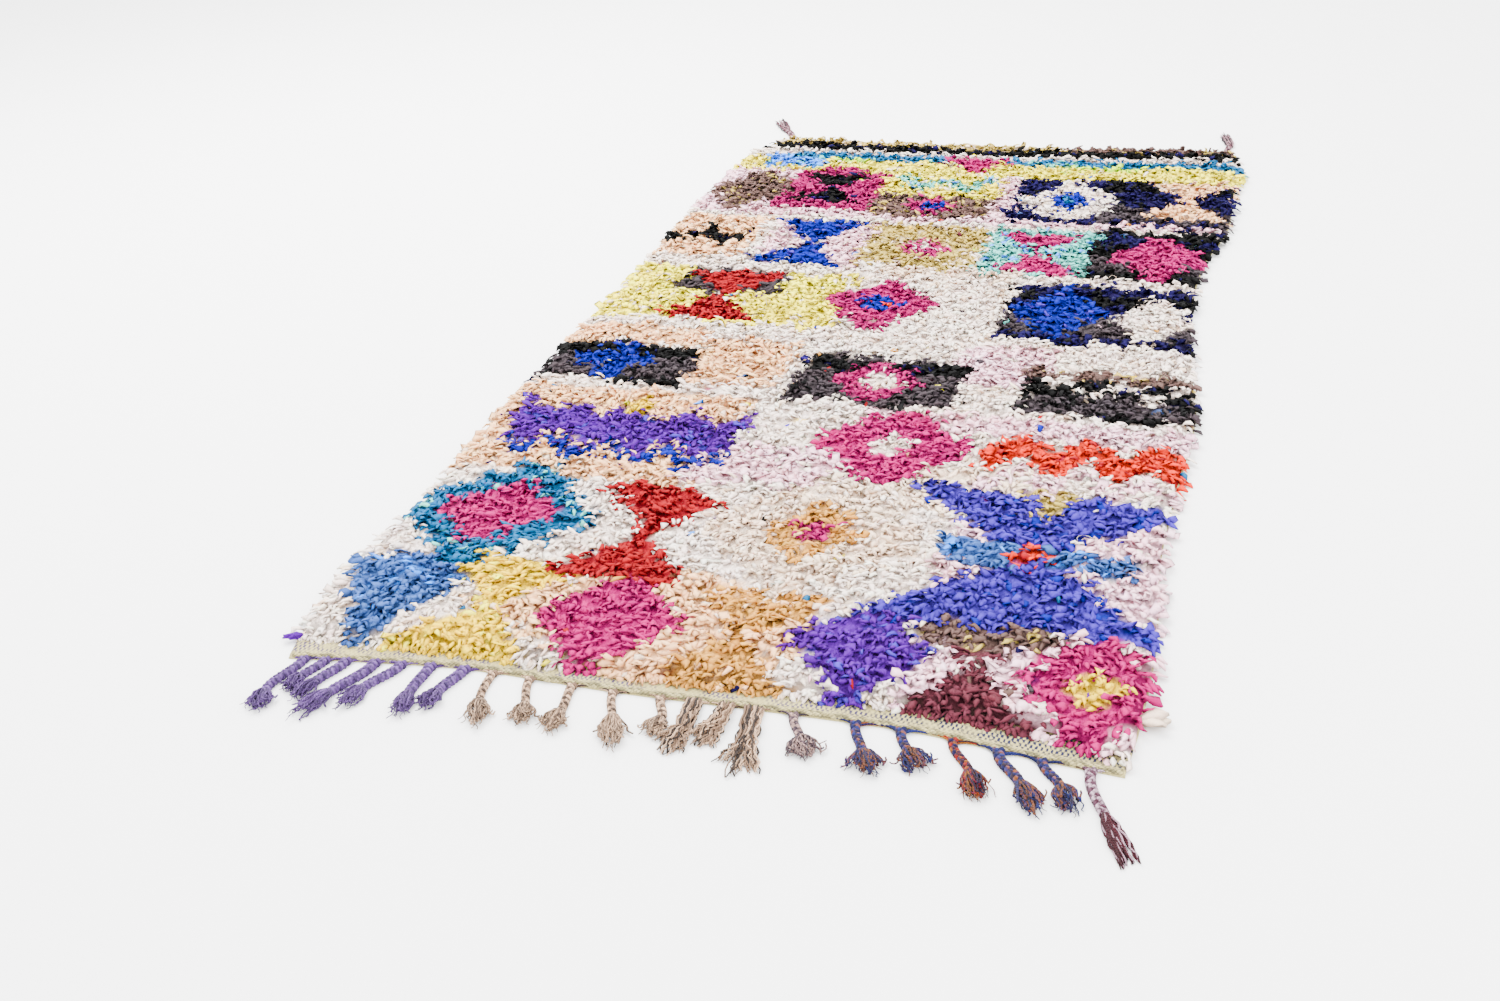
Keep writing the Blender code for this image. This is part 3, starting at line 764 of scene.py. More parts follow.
def lay_rags(rags):
    """The points of each rag end: four stations along it, three points round each."""
    stations, count = len(RAG_WIDTHS), len(rags.yaw)
    here = rags.root.copy()
    rings = np.empty((count, stations, 3, 3))
    for k, widening in enumerate(RAG_WIDTHS):
        share = k / (stations - 1)
        pitch = rags.rise + (rags.fall - rags.rise) * share**0.8 + rags.crumple[:, k, 0]
        turn = rags.yaw + rags.curl * share + rags.crumple[:, k, 1]
        way = np.stack(
            [np.cos(pitch) * np.cos(turn), np.cos(pitch) * np.sin(turn), np.sin(pitch)], -1
        )
        level = np.stack([-np.sin(turn), np.cos(turn), np.zeros(count)], -1)
        upright = np.cross(way, level)
        lean = (rags.roll * (0.4 + 0.6 * share) + rags.crumple[:, k, 2])[:, None]
        side = level * np.cos(lean) + upright * np.sin(lean)
        face = upright * np.cos(lean) - level * np.sin(lean)
        wide = (rags.width * widening * rags.crumple[:, k, 3])[:, None] / 2
        thick = (rags.thickness * (1.3 - 0.5 * share))[:, None] / 2
        rings[:, k, 0] = here + side * wide - face * thick
        rings[:, k, 1] = here + face * thick
        rings[:, k, 2] = here - side * wide - face * thick
        here = here + way * (rags.length / (stations - 1))[:, None]
    lowest = rings[..., 2].min(axis=2)
    rings[..., 2] += np.maximum(RAG_FLOOR - lowest, 0)[:, :, None]
    proud = np.maximum(rings[..., 2] - PILE_TOP, 0)
    rings[..., 2] -= proud * 0.75
    return rings


def knot_places(settings, rng):
    """The rag ends of each knot, in rows across the rug, and where its knot is."""
    found = []
    rows = round(2.55 / settings.row_spacing) + 1

    def row_across(pitch):
        return np.arange(-0.70, 0.67, pitch) + rng.uniform(0, settings.knot_spacing)

    for k in range(rows):
        x = row_across(settings.knot_spacing)
        share = k / (rows - 1)
        y = (pile_start(x) + NEAR_MARGIN) * (1 - share) + (far_end(x) - FAR_MARGIN) * share
        y = y + 0.002 * ripple(x, x * 0, 0.10, 300 + k)
        for shift in KNOT_ENDS:
            end_x = x + rng.normal(0, 0.0030, x.shape)
            end_y = y + shift + rng.normal(0, 0.0020, x.shape)
            found.append((end_x, end_y, x, y, np.full(x.shape, float(shift == 0.0))))
    for shift in RIM_ROWS:
        x = row_across(settings.knot_spacing * 0.8)
        y = pile_start(x) + shift + rng.normal(0, 0.0016, x.shape)
        found.append((x, y, x, pile_start(x) + NEAR_MARGIN, np.zeros(x.shape)))
    columns = [np.concatenate(column) for column in zip(*found)]
    left, right, near, far = pile_rim(*columns[:2])
    keep = (left > 0.002) & (right > 0.002) & (near > -0.004) & (far > 0.010)
    return [column[keep] for column in columns]


def shape_rags(settings, rng):
    """Where each rag end starts, how it lies, and its size and dye."""
    x, y, knot_x, knot_y, middle = knot_places(settings, rng)
    dye = dye_at(knot_x, knot_y, rng)
    cuts = np.array([tuple(cut) for cut in CUTS.values()])[cuts_of(dye)]
    count = len(x)
    length = cuts[:, 0] * rng.uniform(0.75, 1.25, count) * (1 + 0.10 * ripple(x, y, 0.12, 21))
    width = cuts[:, 1] * rng.lognormal(0, 0.28, count)
    thickness = cuts[:, 2] * rng.uniform(0.8, 1.2, count)
    curl = rng.normal(0, 1, count) * cuts[:, 3]
    lock = ripple(x, y, 0.017, 24)
    lean = -math.pi / 2 + 0.55 * ripple(x, y, 0.16, 22) + 0.80 * lock
    yaw = lean + rng.normal(0, 1, count) * cuts[:, 4]
    tuft = ripple(x, y, 0.019, 25)
    rise = 0.62 + 0.26 * tuft + rng.uniform(-0.25, 0.28, count)
    fall = -0.35 + 0.25 * tuft + rng.uniform(-0.55, 0.45, count)

    # Rags near the rim turn outwards and hang down over it
    sides = pile_rim(x, y)
    outward = (math.pi, 0.0, -math.pi / 2, math.pi / 2)
    for inside, way, reach in zip(sides, outward, (0.020, 0.020, 0.010, 0.012)):
        near = np.clip(1 - inside / reach, 0, 1)
        turned = np.arctan2(np.sin(yaw - way), np.cos(yaw - way))
        yaw = way + turned * (1 - 0.70 * near)
        fall = fall * (1 - near) + near * -1.15
        rise = rise * (1 - near) + near * rng.uniform(0.3, 0.9, count)
    length = np.where(sides[3] < 0.02, length * 0.65, length)
    length = np.where(sides[2] < 0.010, length * 0.72, length)

    depth = settings.pile_height - 0.0155 + 0.0030 * ripple(x, y, 0.10, 23)
    depth = depth + 0.0022 * tuft + 0.0015 * middle
    level = np.minimum(sides.min(axis=0) / 0.02, 1)
    height = 0.004 + (depth + rng.uniform(-0.002, 0.003, count)) * level
    root = raised(x, y, height)
    roll = rng.normal(0, 0.55, count)
    crumple = rng.normal(0, 1, (count, 4, 4)) * np.array([0.20, 0.22, 0.32, 0.18])
    return SimpleNamespace(
        knot_x=knot_x, knot_y=knot_y, dye=dye, root=root, yaw=yaw, rise=rise, fall=fall,
        curl=curl, length=length, width=width, thickness=thickness, roll=roll, crumple=crumple,
    )


def loosen_rags(rags, rng):
    """Lays the last rags apart from the rows, at the places named for them."""
    last = len(rags.yaw)
    for loose in LOOSE_RAGS:
        some = slice(last - loose.count, last)
        last -= loose.count
        place = in_row(loose.x, loose.y)
        rags.root[some, :2] = place + rng.normal(0, 0.003, (loose.count, 2))
        rags.root[some, 2] = rng.uniform(0.006, 0.012, loose.count)
        rags.yaw[some] = loose.way + rng.normal(0, 0.35, loose.count)
        rags.length[some], rags.width[some] = loose.length, loose.width
        rags.dye[some] = list(DYES).index(loose.dye)
        rags.rise[some], rags.fall[some], rags.curl[some] = 0.25, -0.35, 0.2
        rags.roll[some] = 0.1
        rags.crumple[some] *= 0.4


def colour_rags(rags, rng):
    """The colour of each point of each rag, with uneven dye batches and painted shade: darker
    towards the root, lighter on the crown.
    """
    count = len(rags.dye)
    batch = 1 + 0.05 * ripple(rags.knot_x * 0.5, rags.knot_y * 2.2, 0.10, 71)
    bright = (rng.normal(1.0, 0.055, count) * batch)[:, None]
    warmth = 0.022 * ripple(rags.knot_x * 0.6, rags.knot_y * 1.8, 0.13, 72)
    tint = 1 + rng.normal(0, 0.018, (count, 3))
    tint = tint + np.stack([warmth, -warmth * 0.2, -warmth * 1.2], axis=-1)
    colour = np.clip(plain_dyes(rags.dye) * bright * tint, 0.004, 0.95)
    # Painted shade: each rag darkens towards its root, where the pile around it shades it
    root_shade = np.array(RAG_ROOT_SHADE)[None, :, None, None]
    # Painted shade across each rag: a painted highlight on its crown, darker at its two edges
    edge = np.array(RAG_SHADE_ACROSS)[None, None, :, None]
    return np.clip(colour[:, None, None, :] * root_shade * edge, 0, 0.97)


def build_pile(settings):
    """All the rag ends, sorted by cut, each cut in pieces that span the rug."""
    rng = np.random.default_rng(SEED)
    rags = shape_rags(settings, rng)
    loosen_rags(rags, rng)
    rags.crumple[..., 3] = np.clip(1 + rags.crumple[..., 3], 0.5, 1.5)
    rings = lay_rags(rags)
    # Each point's colour: its dye with the painted shade along and across the rag
    dyes = colour_rags(rags, rng)
    beside = np.array([0.5, 0.0, -0.5])[None, None, :] * rags.width[:, None, None]
    ahead = np.linspace(0, 1, len(RAG_WIDTHS))[None, :, None] * rags.length[:, None, None]
    across, along = (np.broadcast_to(each, rings.shape[:3]) for each in (beside, ahead))
    finishes = {
        "wool": rag_finish("wool rags", 0.90, 0.01, 0.0013, 0.0014),
        "jersey": rag_finish("jersey rags", 0.85, 0.0, 0.0010, 0.0011),
        "satin": rag_finish("satin rags", 0.60, 0.0, 0.0009, 0.0008),
    }
    light = plain_dyes(rags.dye).mean(axis=1) > 0.42
    wool, jersey, satin = (cuts_of(rags.dye) == k for k in range(len(CUTS)))
    heaps = {
        "rags_wool_light": wool & light,
        "rags_wool_deep": wool & ~light,
        "rags_jersey_light": jersey & light,
        "rags_jersey_deep": jersey & ~light,
        "rags_satin": satin,
    }
    for name, chosen in heaps.items():
        chosen = np.flatnonzero(chosen)
        parts = max(1, math.ceil(len(chosen) / settings.rags_a_piece))
        for number in range(parts):
            some = chosen[number::parts]
            title = f"{name}_{number + 1}"
            mesh = strips_mesh(title, rings[some], dyes[some], across[some], along[some])
            add_piece(title, mesh, finishes[name.split("_")[1]], "rag", "rag_pile")


def build_threads():
    """Thin threads drawn out of the rags, curled on top of the pile."""
    rng = np.random.default_rng(SEED + 80)
    count, stations = 170, 9
    y = rng.uniform(0.10, 2.55, count)
    x = rng.uniform(left_edge(y) + 0.05, right_edge(y) - 0.05)
    dye = dye_at(x, y, rng)
    each = draws(count, rng)
    share = np.linspace(0, 1, stations)[None, :]
    turn = each(0, 2 * math.pi)
    bend = rng.normal(0, 3.0, count)[:, None] * share
    bend = bend + 0.8 * np.sin(share * 2 * math.pi * each(0.5, 1.6) + turn)
    step = each(0.018, 0.050)[..., None] / (stations - 1)
    way = np.stack([np.cos(turn + bend), np.sin(turn + bend)], axis=-1)
    flat = in_row(x, y)[:, None, :] + np.cumsum(way * step, axis=1)
    lift = 0.0265 + 0.004 * np.sin(share * math.pi) * each(0.3, 1.2)
    paths = np.concatenate([flat, lift[..., None]], axis=2)
    picks = np.where(rng.random(count) < 0.6, dye, strays_of(dye))
    picks = np.where(rng.random(count) < 0.25, list(DYES).index("charcoal"), picks)
    radii = np.full((count, stations), 0.00045)
    mesh = tubes_mesh("loose_threads", paths, radii, plain_dyes(picks), 3)
    add_piece("loose_threads", mesh, yarn_finish("thread", 0.9), "rag", "rag_pile")


def sheet_grid(name, columns, rows, surface, rng):
    """A grid primitive laid over the plan, dyed like the rags knotted there.

    surface gives x, y, z for the grid's two shares, across and along.
    """
    bpy.ops.object.select_all(action="DESELECT")
    bpy.ops.mesh.primitive_grid_add(x_subdivisions=columns, y_subdivisions=rows, size=1.0)
    piece = bpy.context.object
    piece.name = piece.data.name = name
    flat = np.empty(len(piece.data.vertices) * 3, dtype=np.float32)
    piece.data.vertices.foreach_get("co", flat)
    places = surface(*(flat.reshape(-1, 3)[:, :2].astype(float) + 0.5).T)
    piece.data.vertices.foreach_set("co", places.astype(np.float32).ravel())
    piece.data.update()
    x, y = in_plan(places)
    colour_points(piece.data, plain_dyes(dye_at(x, y, rng)))
    return piece, x, y


def build_bed(settings):
    """The knots and roots under the rag ends, dyed like the rags above them."""

    def surface(u, v):
        x = left_edge(MIDDLE) * (1 - u) + right_edge(MIDDLE) * u
        y = (pile_start(x) + 0.001) * (1 - v) + (far_end(x) - 0.010) * v
        x = (left_edge(y) + 0.002) * (1 - u) + (right_edge(y) - 0.002) * u
        inside = np.minimum(pile_rim(x, y).min(axis=0) / 0.02, 1).clip(0)
        rise = settings.pile_height - 0.0153 + 0.0015 * ripple(x, y, 0.03, 31)
        return raised(x, y, 0.0064 + inside * rise)

    piece = sheet_grid("pile_base", 66, 130, surface, np.random.default_rng(SEED + 1))[0]
    close_sheet(piece, 0.001)
    bpy.ops.object.shade_smooth()
    settle(piece, bed_finish(), "rag")


def close_sheet(piece, thickness):
    """Gives a sheet its thickness, downwards."""
    solid = piece.modifiers.new("thickness", "SOLIDIFY")
    solid.thickness = thickness
    solid.offset = -1.0
    bpy.context.view_layer.objects.active = piece
    bpy.ops.object.modifier_apply(modifier=solid.name)


def flatten_underside(piece):
    """Sets the lower shell of a closed sheet level on the floor."""
    count = len(piece.data.vertices)
    flat = np.empty(count * 3, dtype=np.float32)
    piece.data.vertices.foreach_get("co", flat)
    places = flat.reshape(-1, 3)
    places[count // 2 :, 2] = 0.0
    piece.data.vertices.foreach_set("co", places.ravel())
    piece.data.update()


def build_ground(settings, pile):
    """The woven ground, fine where it shows as the band at the near end."""
    fine_rows, fine_length = 0.18, 0.09

    def surface(u, v):
        rest = (v - fine_rows) / (1 - fine_rows) * (BODY_LENGTH - fine_length)
        along = np.where(v < fine_rows, v / fine_rows * fine_length, fine_length + rest)
        x = left_edge(0.0) * (1 - u) + right_edge(0.0) * u
        y = near_end(x) + along * (far_end(x) - near_end(x)) / BODY_LENGTH
        x = left_edge(y) * (1 - u) + right_edge(y) * u
        thin = np.clip(along / 0.006, 0.35, 1)
        waves = 0.0009 * ripple(x, y, 0.07, 41) * np.clip(along / 0.02, 0, 1)
        height = settings.ground_thickness * thin + np.clip(waves, -0.0004, 0.0012)
        return raised(x, y, height)

    rng = np.random.default_rng(SEED + 2)
    piece, x, y = sheet_grid("ground_cloth", 66, 128, surface, rng)
    loops = np.empty(len(piece.data.loops), dtype=np.int32)
    piece.data.loops.foreach_get("vertex_index", loops)
    map_loops(piece.data, "weave", np.stack([x, y - near_end(x)], axis=-1)[loops])
    close_sheet(piece, settings.ground_thickness * 0.3)
    flatten_underside(piece)
    bpy.ops.object.shade_smooth()
    finish = weave_finish(pile.row_spacing, pile.knot_spacing)
    settle(piece, finish, "ground", "ground_weave")


def build_edge_wefts():
    """The heavy wefts twisted along the near edge, thicker where one was joined."""
    stations, sides, strands, turn, lay = 330, 6, 3, 0.034, 0.021
    x = np.linspace(-0.640, 0.628, stations)
    paths, radii, colours = [], [], []
    joined = np.exp(-(((x + 0.225) / 0.020) ** 2)) + 0.4 * np.exp(-(((x - 0.46) / 0.014) ** 2))
    for ply in range(strands):
        angle = 2 * math.pi * (x / turn + ply / strands) + 0.6 * ripple(x, x * 0, 0.05, 61)
        size = 0.0028 + 0.0006 * ripple(x, x * 0, 0.03, 62 + ply) + 0.0008 * joined
        y = near_end(x) + 0.0058 + np.cos(angle) * (0.0026 + 0.0012 * joined) - 0.0030 * joined
        z = 0.0046 + np.sin(angle) * 0.0018 + 0.0010 * joined
        paths.append(raised(x, y, z))
        radii.append(np.clip(size, 0.0018, 0.0042))
        colours.append(plied("edge_weft", ply, ply + 1, 1.27, stations, sides, lay))
    mesh = tubes_mesh("edge_wefts", np.array(paths), np.array(radii), np.array(colours), sides)
    add_piece("edge_wefts", mesh, yarn_finish("weft yarn", 0.92), "ground", "ground_weave")


def tubes_mesh(name, paths, radii, colours, sides):
    """Round yarns along paths: paths is yarn, station, x y z; radii is yarn, station."""
    way = np.gradient(paths, axis=1)
    way /= np.maximum(np.linalg.norm(way, axis=2, keepdims=True), 1e-9)
    steep = np.abs(way[..., 2:3]) > 0.94
    up = np.where(steep, np.array([0.0, 1.0, 0.0]), np.array([0.0, 0.0, 1.0]))
    level = np.cross(up, way)
    level /= np.maximum(np.linalg.norm(level, axis=2, keepdims=True), 1e-9)
    upright = np.cross(way, level)
    around = (2 * math.pi * np.arange(sides) / sides)[None, None, :, None]
    places = paths[:, :, None, :] + radii[:, :, None, None] * (
        np.cos(around) * level[:, :, None, :] + np.sin(around) * upright[:, :, None, :]
    )
    lowest = places[..., 2].min(axis=2)
    places[..., 2] += np.maximum(YARN_FLOOR - lowest, 0)[:, :, None]
    steps = np.linalg.norm(np.diff(paths, axis=1), axis=2)
    run = np.pad(np.cumsum(steps, axis=1), ((0, 0), (1, 0)))
    across = np.broadcast_to(np.arange(sides)[None, None, :] / sides, places.shape[:3])
    along = np.broadcast_to(run[:, :, None], places.shape[:3])
    one_each = colours.shape[:-1] + (1,) * (4 - colours.ndim) + (3,)
    dyes = np.broadcast_to(colours.reshape(one_each), places.shape)
    return strips_mesh(name, places, dyes, across, along)


def plied(yarns, first, second, length, stations, sides, lay):
    """The colours over one strand of two of its yarns, each seen in turn along it."""
    palette = linear(YARNS[yarns])
    run = np.linspace(0, length, stations)[:, None] / lay
    around = np.arange(sides)[None, :] / sides
    share = np.clip(0.5 + 1.5 * np.sin(2 * math.pi * (run + around)), 0, 1)[..., None]
    one, other = palette[first % len(palette)], palette[second % len(palette)]
    return one * (1 - share) + other * share


def mixed(yarns, count, rng):
    """One of a plait's colours for each yarn."""
    palette = linear(YARNS[yarns])
    return palette[rng.integers(0, len(palette), count)]


def draws(count, rng):
    """Draws one seeded number for each yarn, as a column, between two limits."""
    return lambda low, high: rng.uniform(low, high, count)[:, None]


def laid(start, way, aside, forward, sideways, lift):
    """Paths over the floor, from how far forward, aside and up each station is."""
    flat = (
        start[None, None, :]
        + way[None, None, :] * forward[..., None]
        + aside[None, None, :] * sideways[..., None]
    )
    return np.concatenate([flat, lift[..., None]], axis=2)


def join_meshes(name, meshes, material, slot, *nodes):
    """One piece from several meshes of the same maps and colours."""
    bpy.ops.object.select_all(action="DESELECT")
    parts = [bpy.data.objects.new(name, mesh) for mesh in meshes]
    for part in parts:
        bpy.context.scene.collection.objects.link(part)
        part.select_set(True)
    bpy.context.view_layer.objects.active = parts[0]
    bpy.ops.object.join()
    parts[0].name = parts[0].data.name = name
    settle(parts[0], material, slot, *nodes)


def plait_path(start, first_way, end, last_way, count):
    """Evenly spaced points on a smooth curve over the floor."""
    pull = np.linalg.norm(end - start) * 0.35
    corners = (start, start + first_way * pull, end - last_way * pull, end)
    t = np.linspace(0, 1, 161)[:, None]
    weights = ((1 - t) ** 3, 3 * t * (1 - t) ** 2, 3 * t**2 * (1 - t), t**3)
    fine = sum(w * c for w, c in zip(weights, corners))
    run = np.concatenate([[0], np.cumsum(np.linalg.norm(np.diff(fine, axis=0), axis=1))])
    want = np.linspace(0, run[-1], count)
    return np.stack([np.interp(want, run, fine[:, k]) for k in range(2)], -1), run[-1]


def braid_mesh(name, plait, root, first_way, head, last_way, pitch):
    """Three strands that cross left and right in turn."""
    stations, sides, strands, lay = 60, 6, 3, 0.0065
    path, length = plait_path(root, first_way, head, last_way, stations)
    way = np.gradient(path, axis=0)
    way /= np.linalg.norm(way, axis=1, keepdims=True)
    aside = np.stack([-way[:, 1], way[:, 0]], -1)
    run = np.linspace(0, length, stations)
    radius = plait.width * 0.33
    paths, radii, colours = [], [], []
    for strand in range(strands):
        phase = 2 * math.pi * (run / pitch + strand / strands)
        gather = 1 + 0.5 * np.clip(1 - run / 0.012, 0, 1)
        across = np.sin(phase) * plait.width * 0.36 * gather
        lift = radius * 1.35 + np.sin(2 * phase) * radius * 0.80
        flat = path + aside * across[:, None]
        paths.append(np.concatenate([flat, lift[:, None]], axis=1))
        radii.append(np.full(stations, radius) * np.clip(run / 0.004 + 0.55, 0, 1))
        colours.append(plied(plait.yarns, strand, strand + 1, length, stations, sides, lay))
    return tubes_mesh(name, np.array(paths), np.array(radii), np.array(colours), sides)


def knot_mesh(name, plait, head, way, rng):
    """Turns of yarn wrapped and tied round the plait's end."""
    aside = square_to(way)
    turns, stations, high, radius = 4, 22, 0.0044, 0.0017
    wide = plait.width * 0.52
    paths = []
    for turn in range(turns):
        tilt = rng.normal(0, 0.25)
        angle = 2 * math.pi * np.linspace(0, 1, stations) + rng.uniform(0, 2)
        centre = head + way * (turn - 1.2) * 0.0026
        flat = (
            centre
            + aside * (np.cos(angle) * wide)[:, None]
            + way * (np.sin(angle) * tilt * wide)[:, None]
        )
        lift = high + 0.0006 + np.sin(angle) * high
        paths.append(np.concatenate([flat, lift[:, None]], axis=1))
    radii = np.full((turns, stations), radius)
    return tubes_mesh(name, np.array(paths), radii, mixed(plait.yarns, turns, rng), 5)


def brush_mesh(name, yarns, width, knot, head, way, tip, count, rng):
    """Loose yarns past a knot, still crimped from the plait and lying side by side."""
    stations, locks = 9, 5
    reach = np.linalg.norm(tip - head)
    share = np.linspace(0, 1, stations)[None, :]
    each = draws(count, rng)
    spot, layer, phase = each(-1, 1), each(0, 1), each(0, 2 * math.pi)
    lock = np.clip(np.floor((spot + 1) / 2 * locks), 0, locks - 1).astype(int)
    lock_turn = rng.normal(0, 0.0032, locks)[lock]
    lock_reach = rng.uniform(0.72, 1.0, locks)[lock]
    length = reach * lock_reach * each(0.70, 1.03)
    swell = width * 0.40 + (knot * 0.58 - width * 0.40) * np.sin(share**0.7 * math.pi * 0.62)
    wave = 0.0015 * each(0.5, 1.7) * np.sin(share * 2 * math.pi * each(1.6, 3.6) + phase)
    middle = (lock + 0.5) / locks * 2 - 1
    gathered = spot + (middle - spot) * 0.24 * share
    sideways = gathered * swell + wave * np.minimum(share * 4, 1) + lock_turn * share**1.5
    heap = 0.0100 * np.cos(share * math.pi / 2) ** 0.5
    lift = 0.0014 + heap * layer * (1 - 0.45 * np.abs(spot))
    lift = lift + 0.0009 * (1 + np.sin(share * 2 * math.pi * 2.3 + phase + 1.4)) * layer
    paths = laid(head, way, square_to(way), length * share, sideways, lift)
    radii = each(0.0013, 0.0021) * (1.0 - 0.45 * share**3)
    shades = each(0.6, 1.2)
    return tubes_mesh(name, paths, radii, mixed(yarns, count, rng) * shades, 4)


def mop_mesh(name, plait, head, way, tip, bend, rng):
    """A plait's end opened into a heap of thick yarns. Past a quarter turn they fold back."""
    count, loose_count, stations, sides, lay = 50, 15, 12, 4, 0.010
    reach = np.linalg.norm(tip - head)
    share = np.linspace(0, 1, stations)[None, :]
    each = draws(count, rng)
    loose = np.arange(count)[:, None] < loose_count
    spot, layer, phase = each(-1, 1), each(0, 1) ** 0.7, each(0, 2 * math.pi)
    span = reach * (1 - 0.28 * np.abs(spot)) * np.where(loose, each(0.80, 1.16), each(0.50, 0.98))
    bent = np.where(loose, 1.35, bend * each(0.70, 1.22))
    away = span * np.sin(share * bent) / np.sin(np.minimum(bent, math.pi / 2))
    part = np.clip(away / reach, 0, 1)
    half = max(plait.knot * 0.80, reach * 0.27)
    belly = np.sin(part**0.65 * math.pi * 0.80)
    swing = each(-0.62, 0.62) * share**2
    beat = share * 2 * math.pi * each(1.2, 2.8) + phase
    wave = 0.0019 * each(0.4, 1.3) * np.sin(beat) * np.minimum(share * 4, 1)
    over = (spot * (1 - 0.30 * layer) + swing) * belly * half + wave
    over = over + (share**3) * np.where(loose, each(-0.006, 0.006), 0)
    heap = 0.0145 * np.sqrt(np.clip(np.sin(part * math.pi * 0.92), 0, 1))
    lift = 0.0016 + heap * layer * (1 - 0.40 * np.abs(spot)) + 0.0045 * (1 - part) * (1 - share)
    lift = lift + 0.0012 * (1 + np.sin(beat + 1.4)) * layer
    paths = laid(head, way, square_to(way), away - 0.003, over, np.maximum(lift, 0.0016))
    colours = []
    for _ in range(count):
        pair = rng.choice(len(YARNS[plait.yarns]), 2, replace=False)
        shade = rng.uniform(0.60, 1.20)
        colours.append(plied(plait.yarns, *pair, 0.05, stations, sides, lay) * shade)
    radii = each(0.0013, 0.0021) * np.where(loose, 0.75 - 0.35 * share, 1.0 - 0.25 * share)
    return tubes_mesh(name, paths, radii, np.array(colours), sides)


def bunch_mesh(name, plait, root, along, head, tip, rng):
    """Matted warps that were never plaited: crimped yarns parted into prongs."""
    count, stations = 50, 15
    share = np.linspace(0, 1, stations)[None, :]
    each = draws(count, rng)
    # How far each prong turns aside, and its share of the bunch's reach
    prongs = np.array(((-0.62, 0.72), (-0.10, 1.0), (0.30, 0.86)))
    turn, far = prongs[rng.integers(0, len(prongs), count)].T[..., None]
    far = far * each(0.75, 1.04) * np.linalg.norm(tip - head)
    way = towards(head, tip)
    aside = square_to(way)
    spot = each(-1, 1)
    start = root + along * (spot * plait.width * 0.75)
    middle = head + aside * (spot * plait.width * 0.62 + turn * 0.008)
    end = head + way * (far * np.cos(turn)) + aside * (far * np.sin(turn) + spot * 0.0095)
    s = share[..., None]
    early = start[:, None, :] * (1 - 2 * s) + middle[:, None, :] * 2 * s
    late = middle[:, None, :] * (2 - 2 * s) + end[:, None, :] * (2 * s - 1)
    flat = np.where(s < 0.5, early, late)
    flat[:, 1:-1] = (flat[:, :-2] + 2 * flat[:, 1:-1] + flat[:, 2:]) / 4
    phase, waves = each(0, 2 * math.pi), each(3.0, 6.0)
    crimp = 0.0032 * each(0.5, 1.3) * np.minimum(share * 6, 1)
    crimp = crimp * np.sin(share * 2 * math.pi * waves + phase)
    flat = flat + aside[None, None, :] * crimp[..., None]
    layer = each(0, 1)
    heap = 0.0025 + 0.0115 * layer * np.sin(math.pi * np.clip(share * 0.85 + 0.15, 0, 1)) ** 0.6
    lift = heap + 0.0012 * (1 + np.sin(share * 2 * math.pi * waves * 0.8 + phase + 1.0)) * layer
    paths = np.concatenate([flat, lift[..., None]], axis=2)
    radii = each(0.0012, 0.0019) * (1.0 - 0.4 * share**4)
    shades = each(0.65, 1.20)
    return tubes_mesh(name, paths, radii, mixed(plait.yarns, count, rng) * shades, 4)


def edge_gather_mesh(name, plait, root, along, first_way, rng):
    """The warps that run along the woven edge and turn down into the plait."""
    many = plait.yarns in ("blue", "orange")
    count, widest, stations = (12, 0.040, 12) if many else (6, 0.026, 12)
    share = np.linspace(0, 1, stations)[None, :]
    each = draws(count, rng)
    side = np.where(np.arange(count) % 2 == 0, 1.0, -1.0)[:, None]
    ease = share**1.5
    across = each(0.010, widest) * side * (1 - ease) + side * plait.width * 0.22 * ease
    down = -0.0006 - (0.0016 + each(0.0, 0.0022)) * share + 0.014 * share**4
    lift = 0.0018 + each(0, 0.0030) + 0.0010 * share
    paths = laid(root, along, first_way, across, down, lift)
    radii = np.full((count, stations), 0.0015) * (1 - 0.5 * (1 - share) ** 3)
    return tubes_mesh(name, paths, radii, mixed(plait.yarns, count, rng), 4)


def build_plaits(settings):
    """The near end's plaits, each with its gathered warps, knot and loose yarns."""
    finish = yarn_finish("plaited yarn", 0.9)
    for number, plait in enumerate(PLAITS, start=1):
        rng = np.random.default_rng(SEED + 100 + number)
        name = f"plaited_end_{number:02d}"
        near = in_row(plait.root, near_end(plait.root))
        along = towards(near, in_row(plait.root + 0.009, near_end(plait.root + 0.009)))
        first_way = -square_to(along)
        head, tip = in_row(*plait.head), in_row(*plait.tip)
        last_way = towards(head, tip)
        root = near + first_way * 0.0005
        meshes = [edge_gather_mesh(name, plait, near, along, first_way, rng)]
        if plait.end == "bunch":
            meshes.append(bunch_mesh(name, plait, root, along, head, tip, rng))
        else:
            pitch = settings.plait_pitch
            meshes.append(braid_mesh(name, plait, root, first_way, head, last_way, pitch))
            meshes.append(knot_mesh(name, plait, head, last_way, rng))
        if plait.end in BENDS:
            meshes.append(mop_mesh(name, plait, head, last_way, tip, BENDS[plait.end], rng))
        if plait.end == "brush":
            width, knot, count = plait.width, plait.knot, settings.loose_yarns
            yarns = plait.yarns + "_end"
            meshes.append(brush_mesh(name, yarns, width, knot, head, last_way, tip, count, rng))
        join_meshes(name, meshes, finish, plait.yarns, f"plait_{number:02d}")


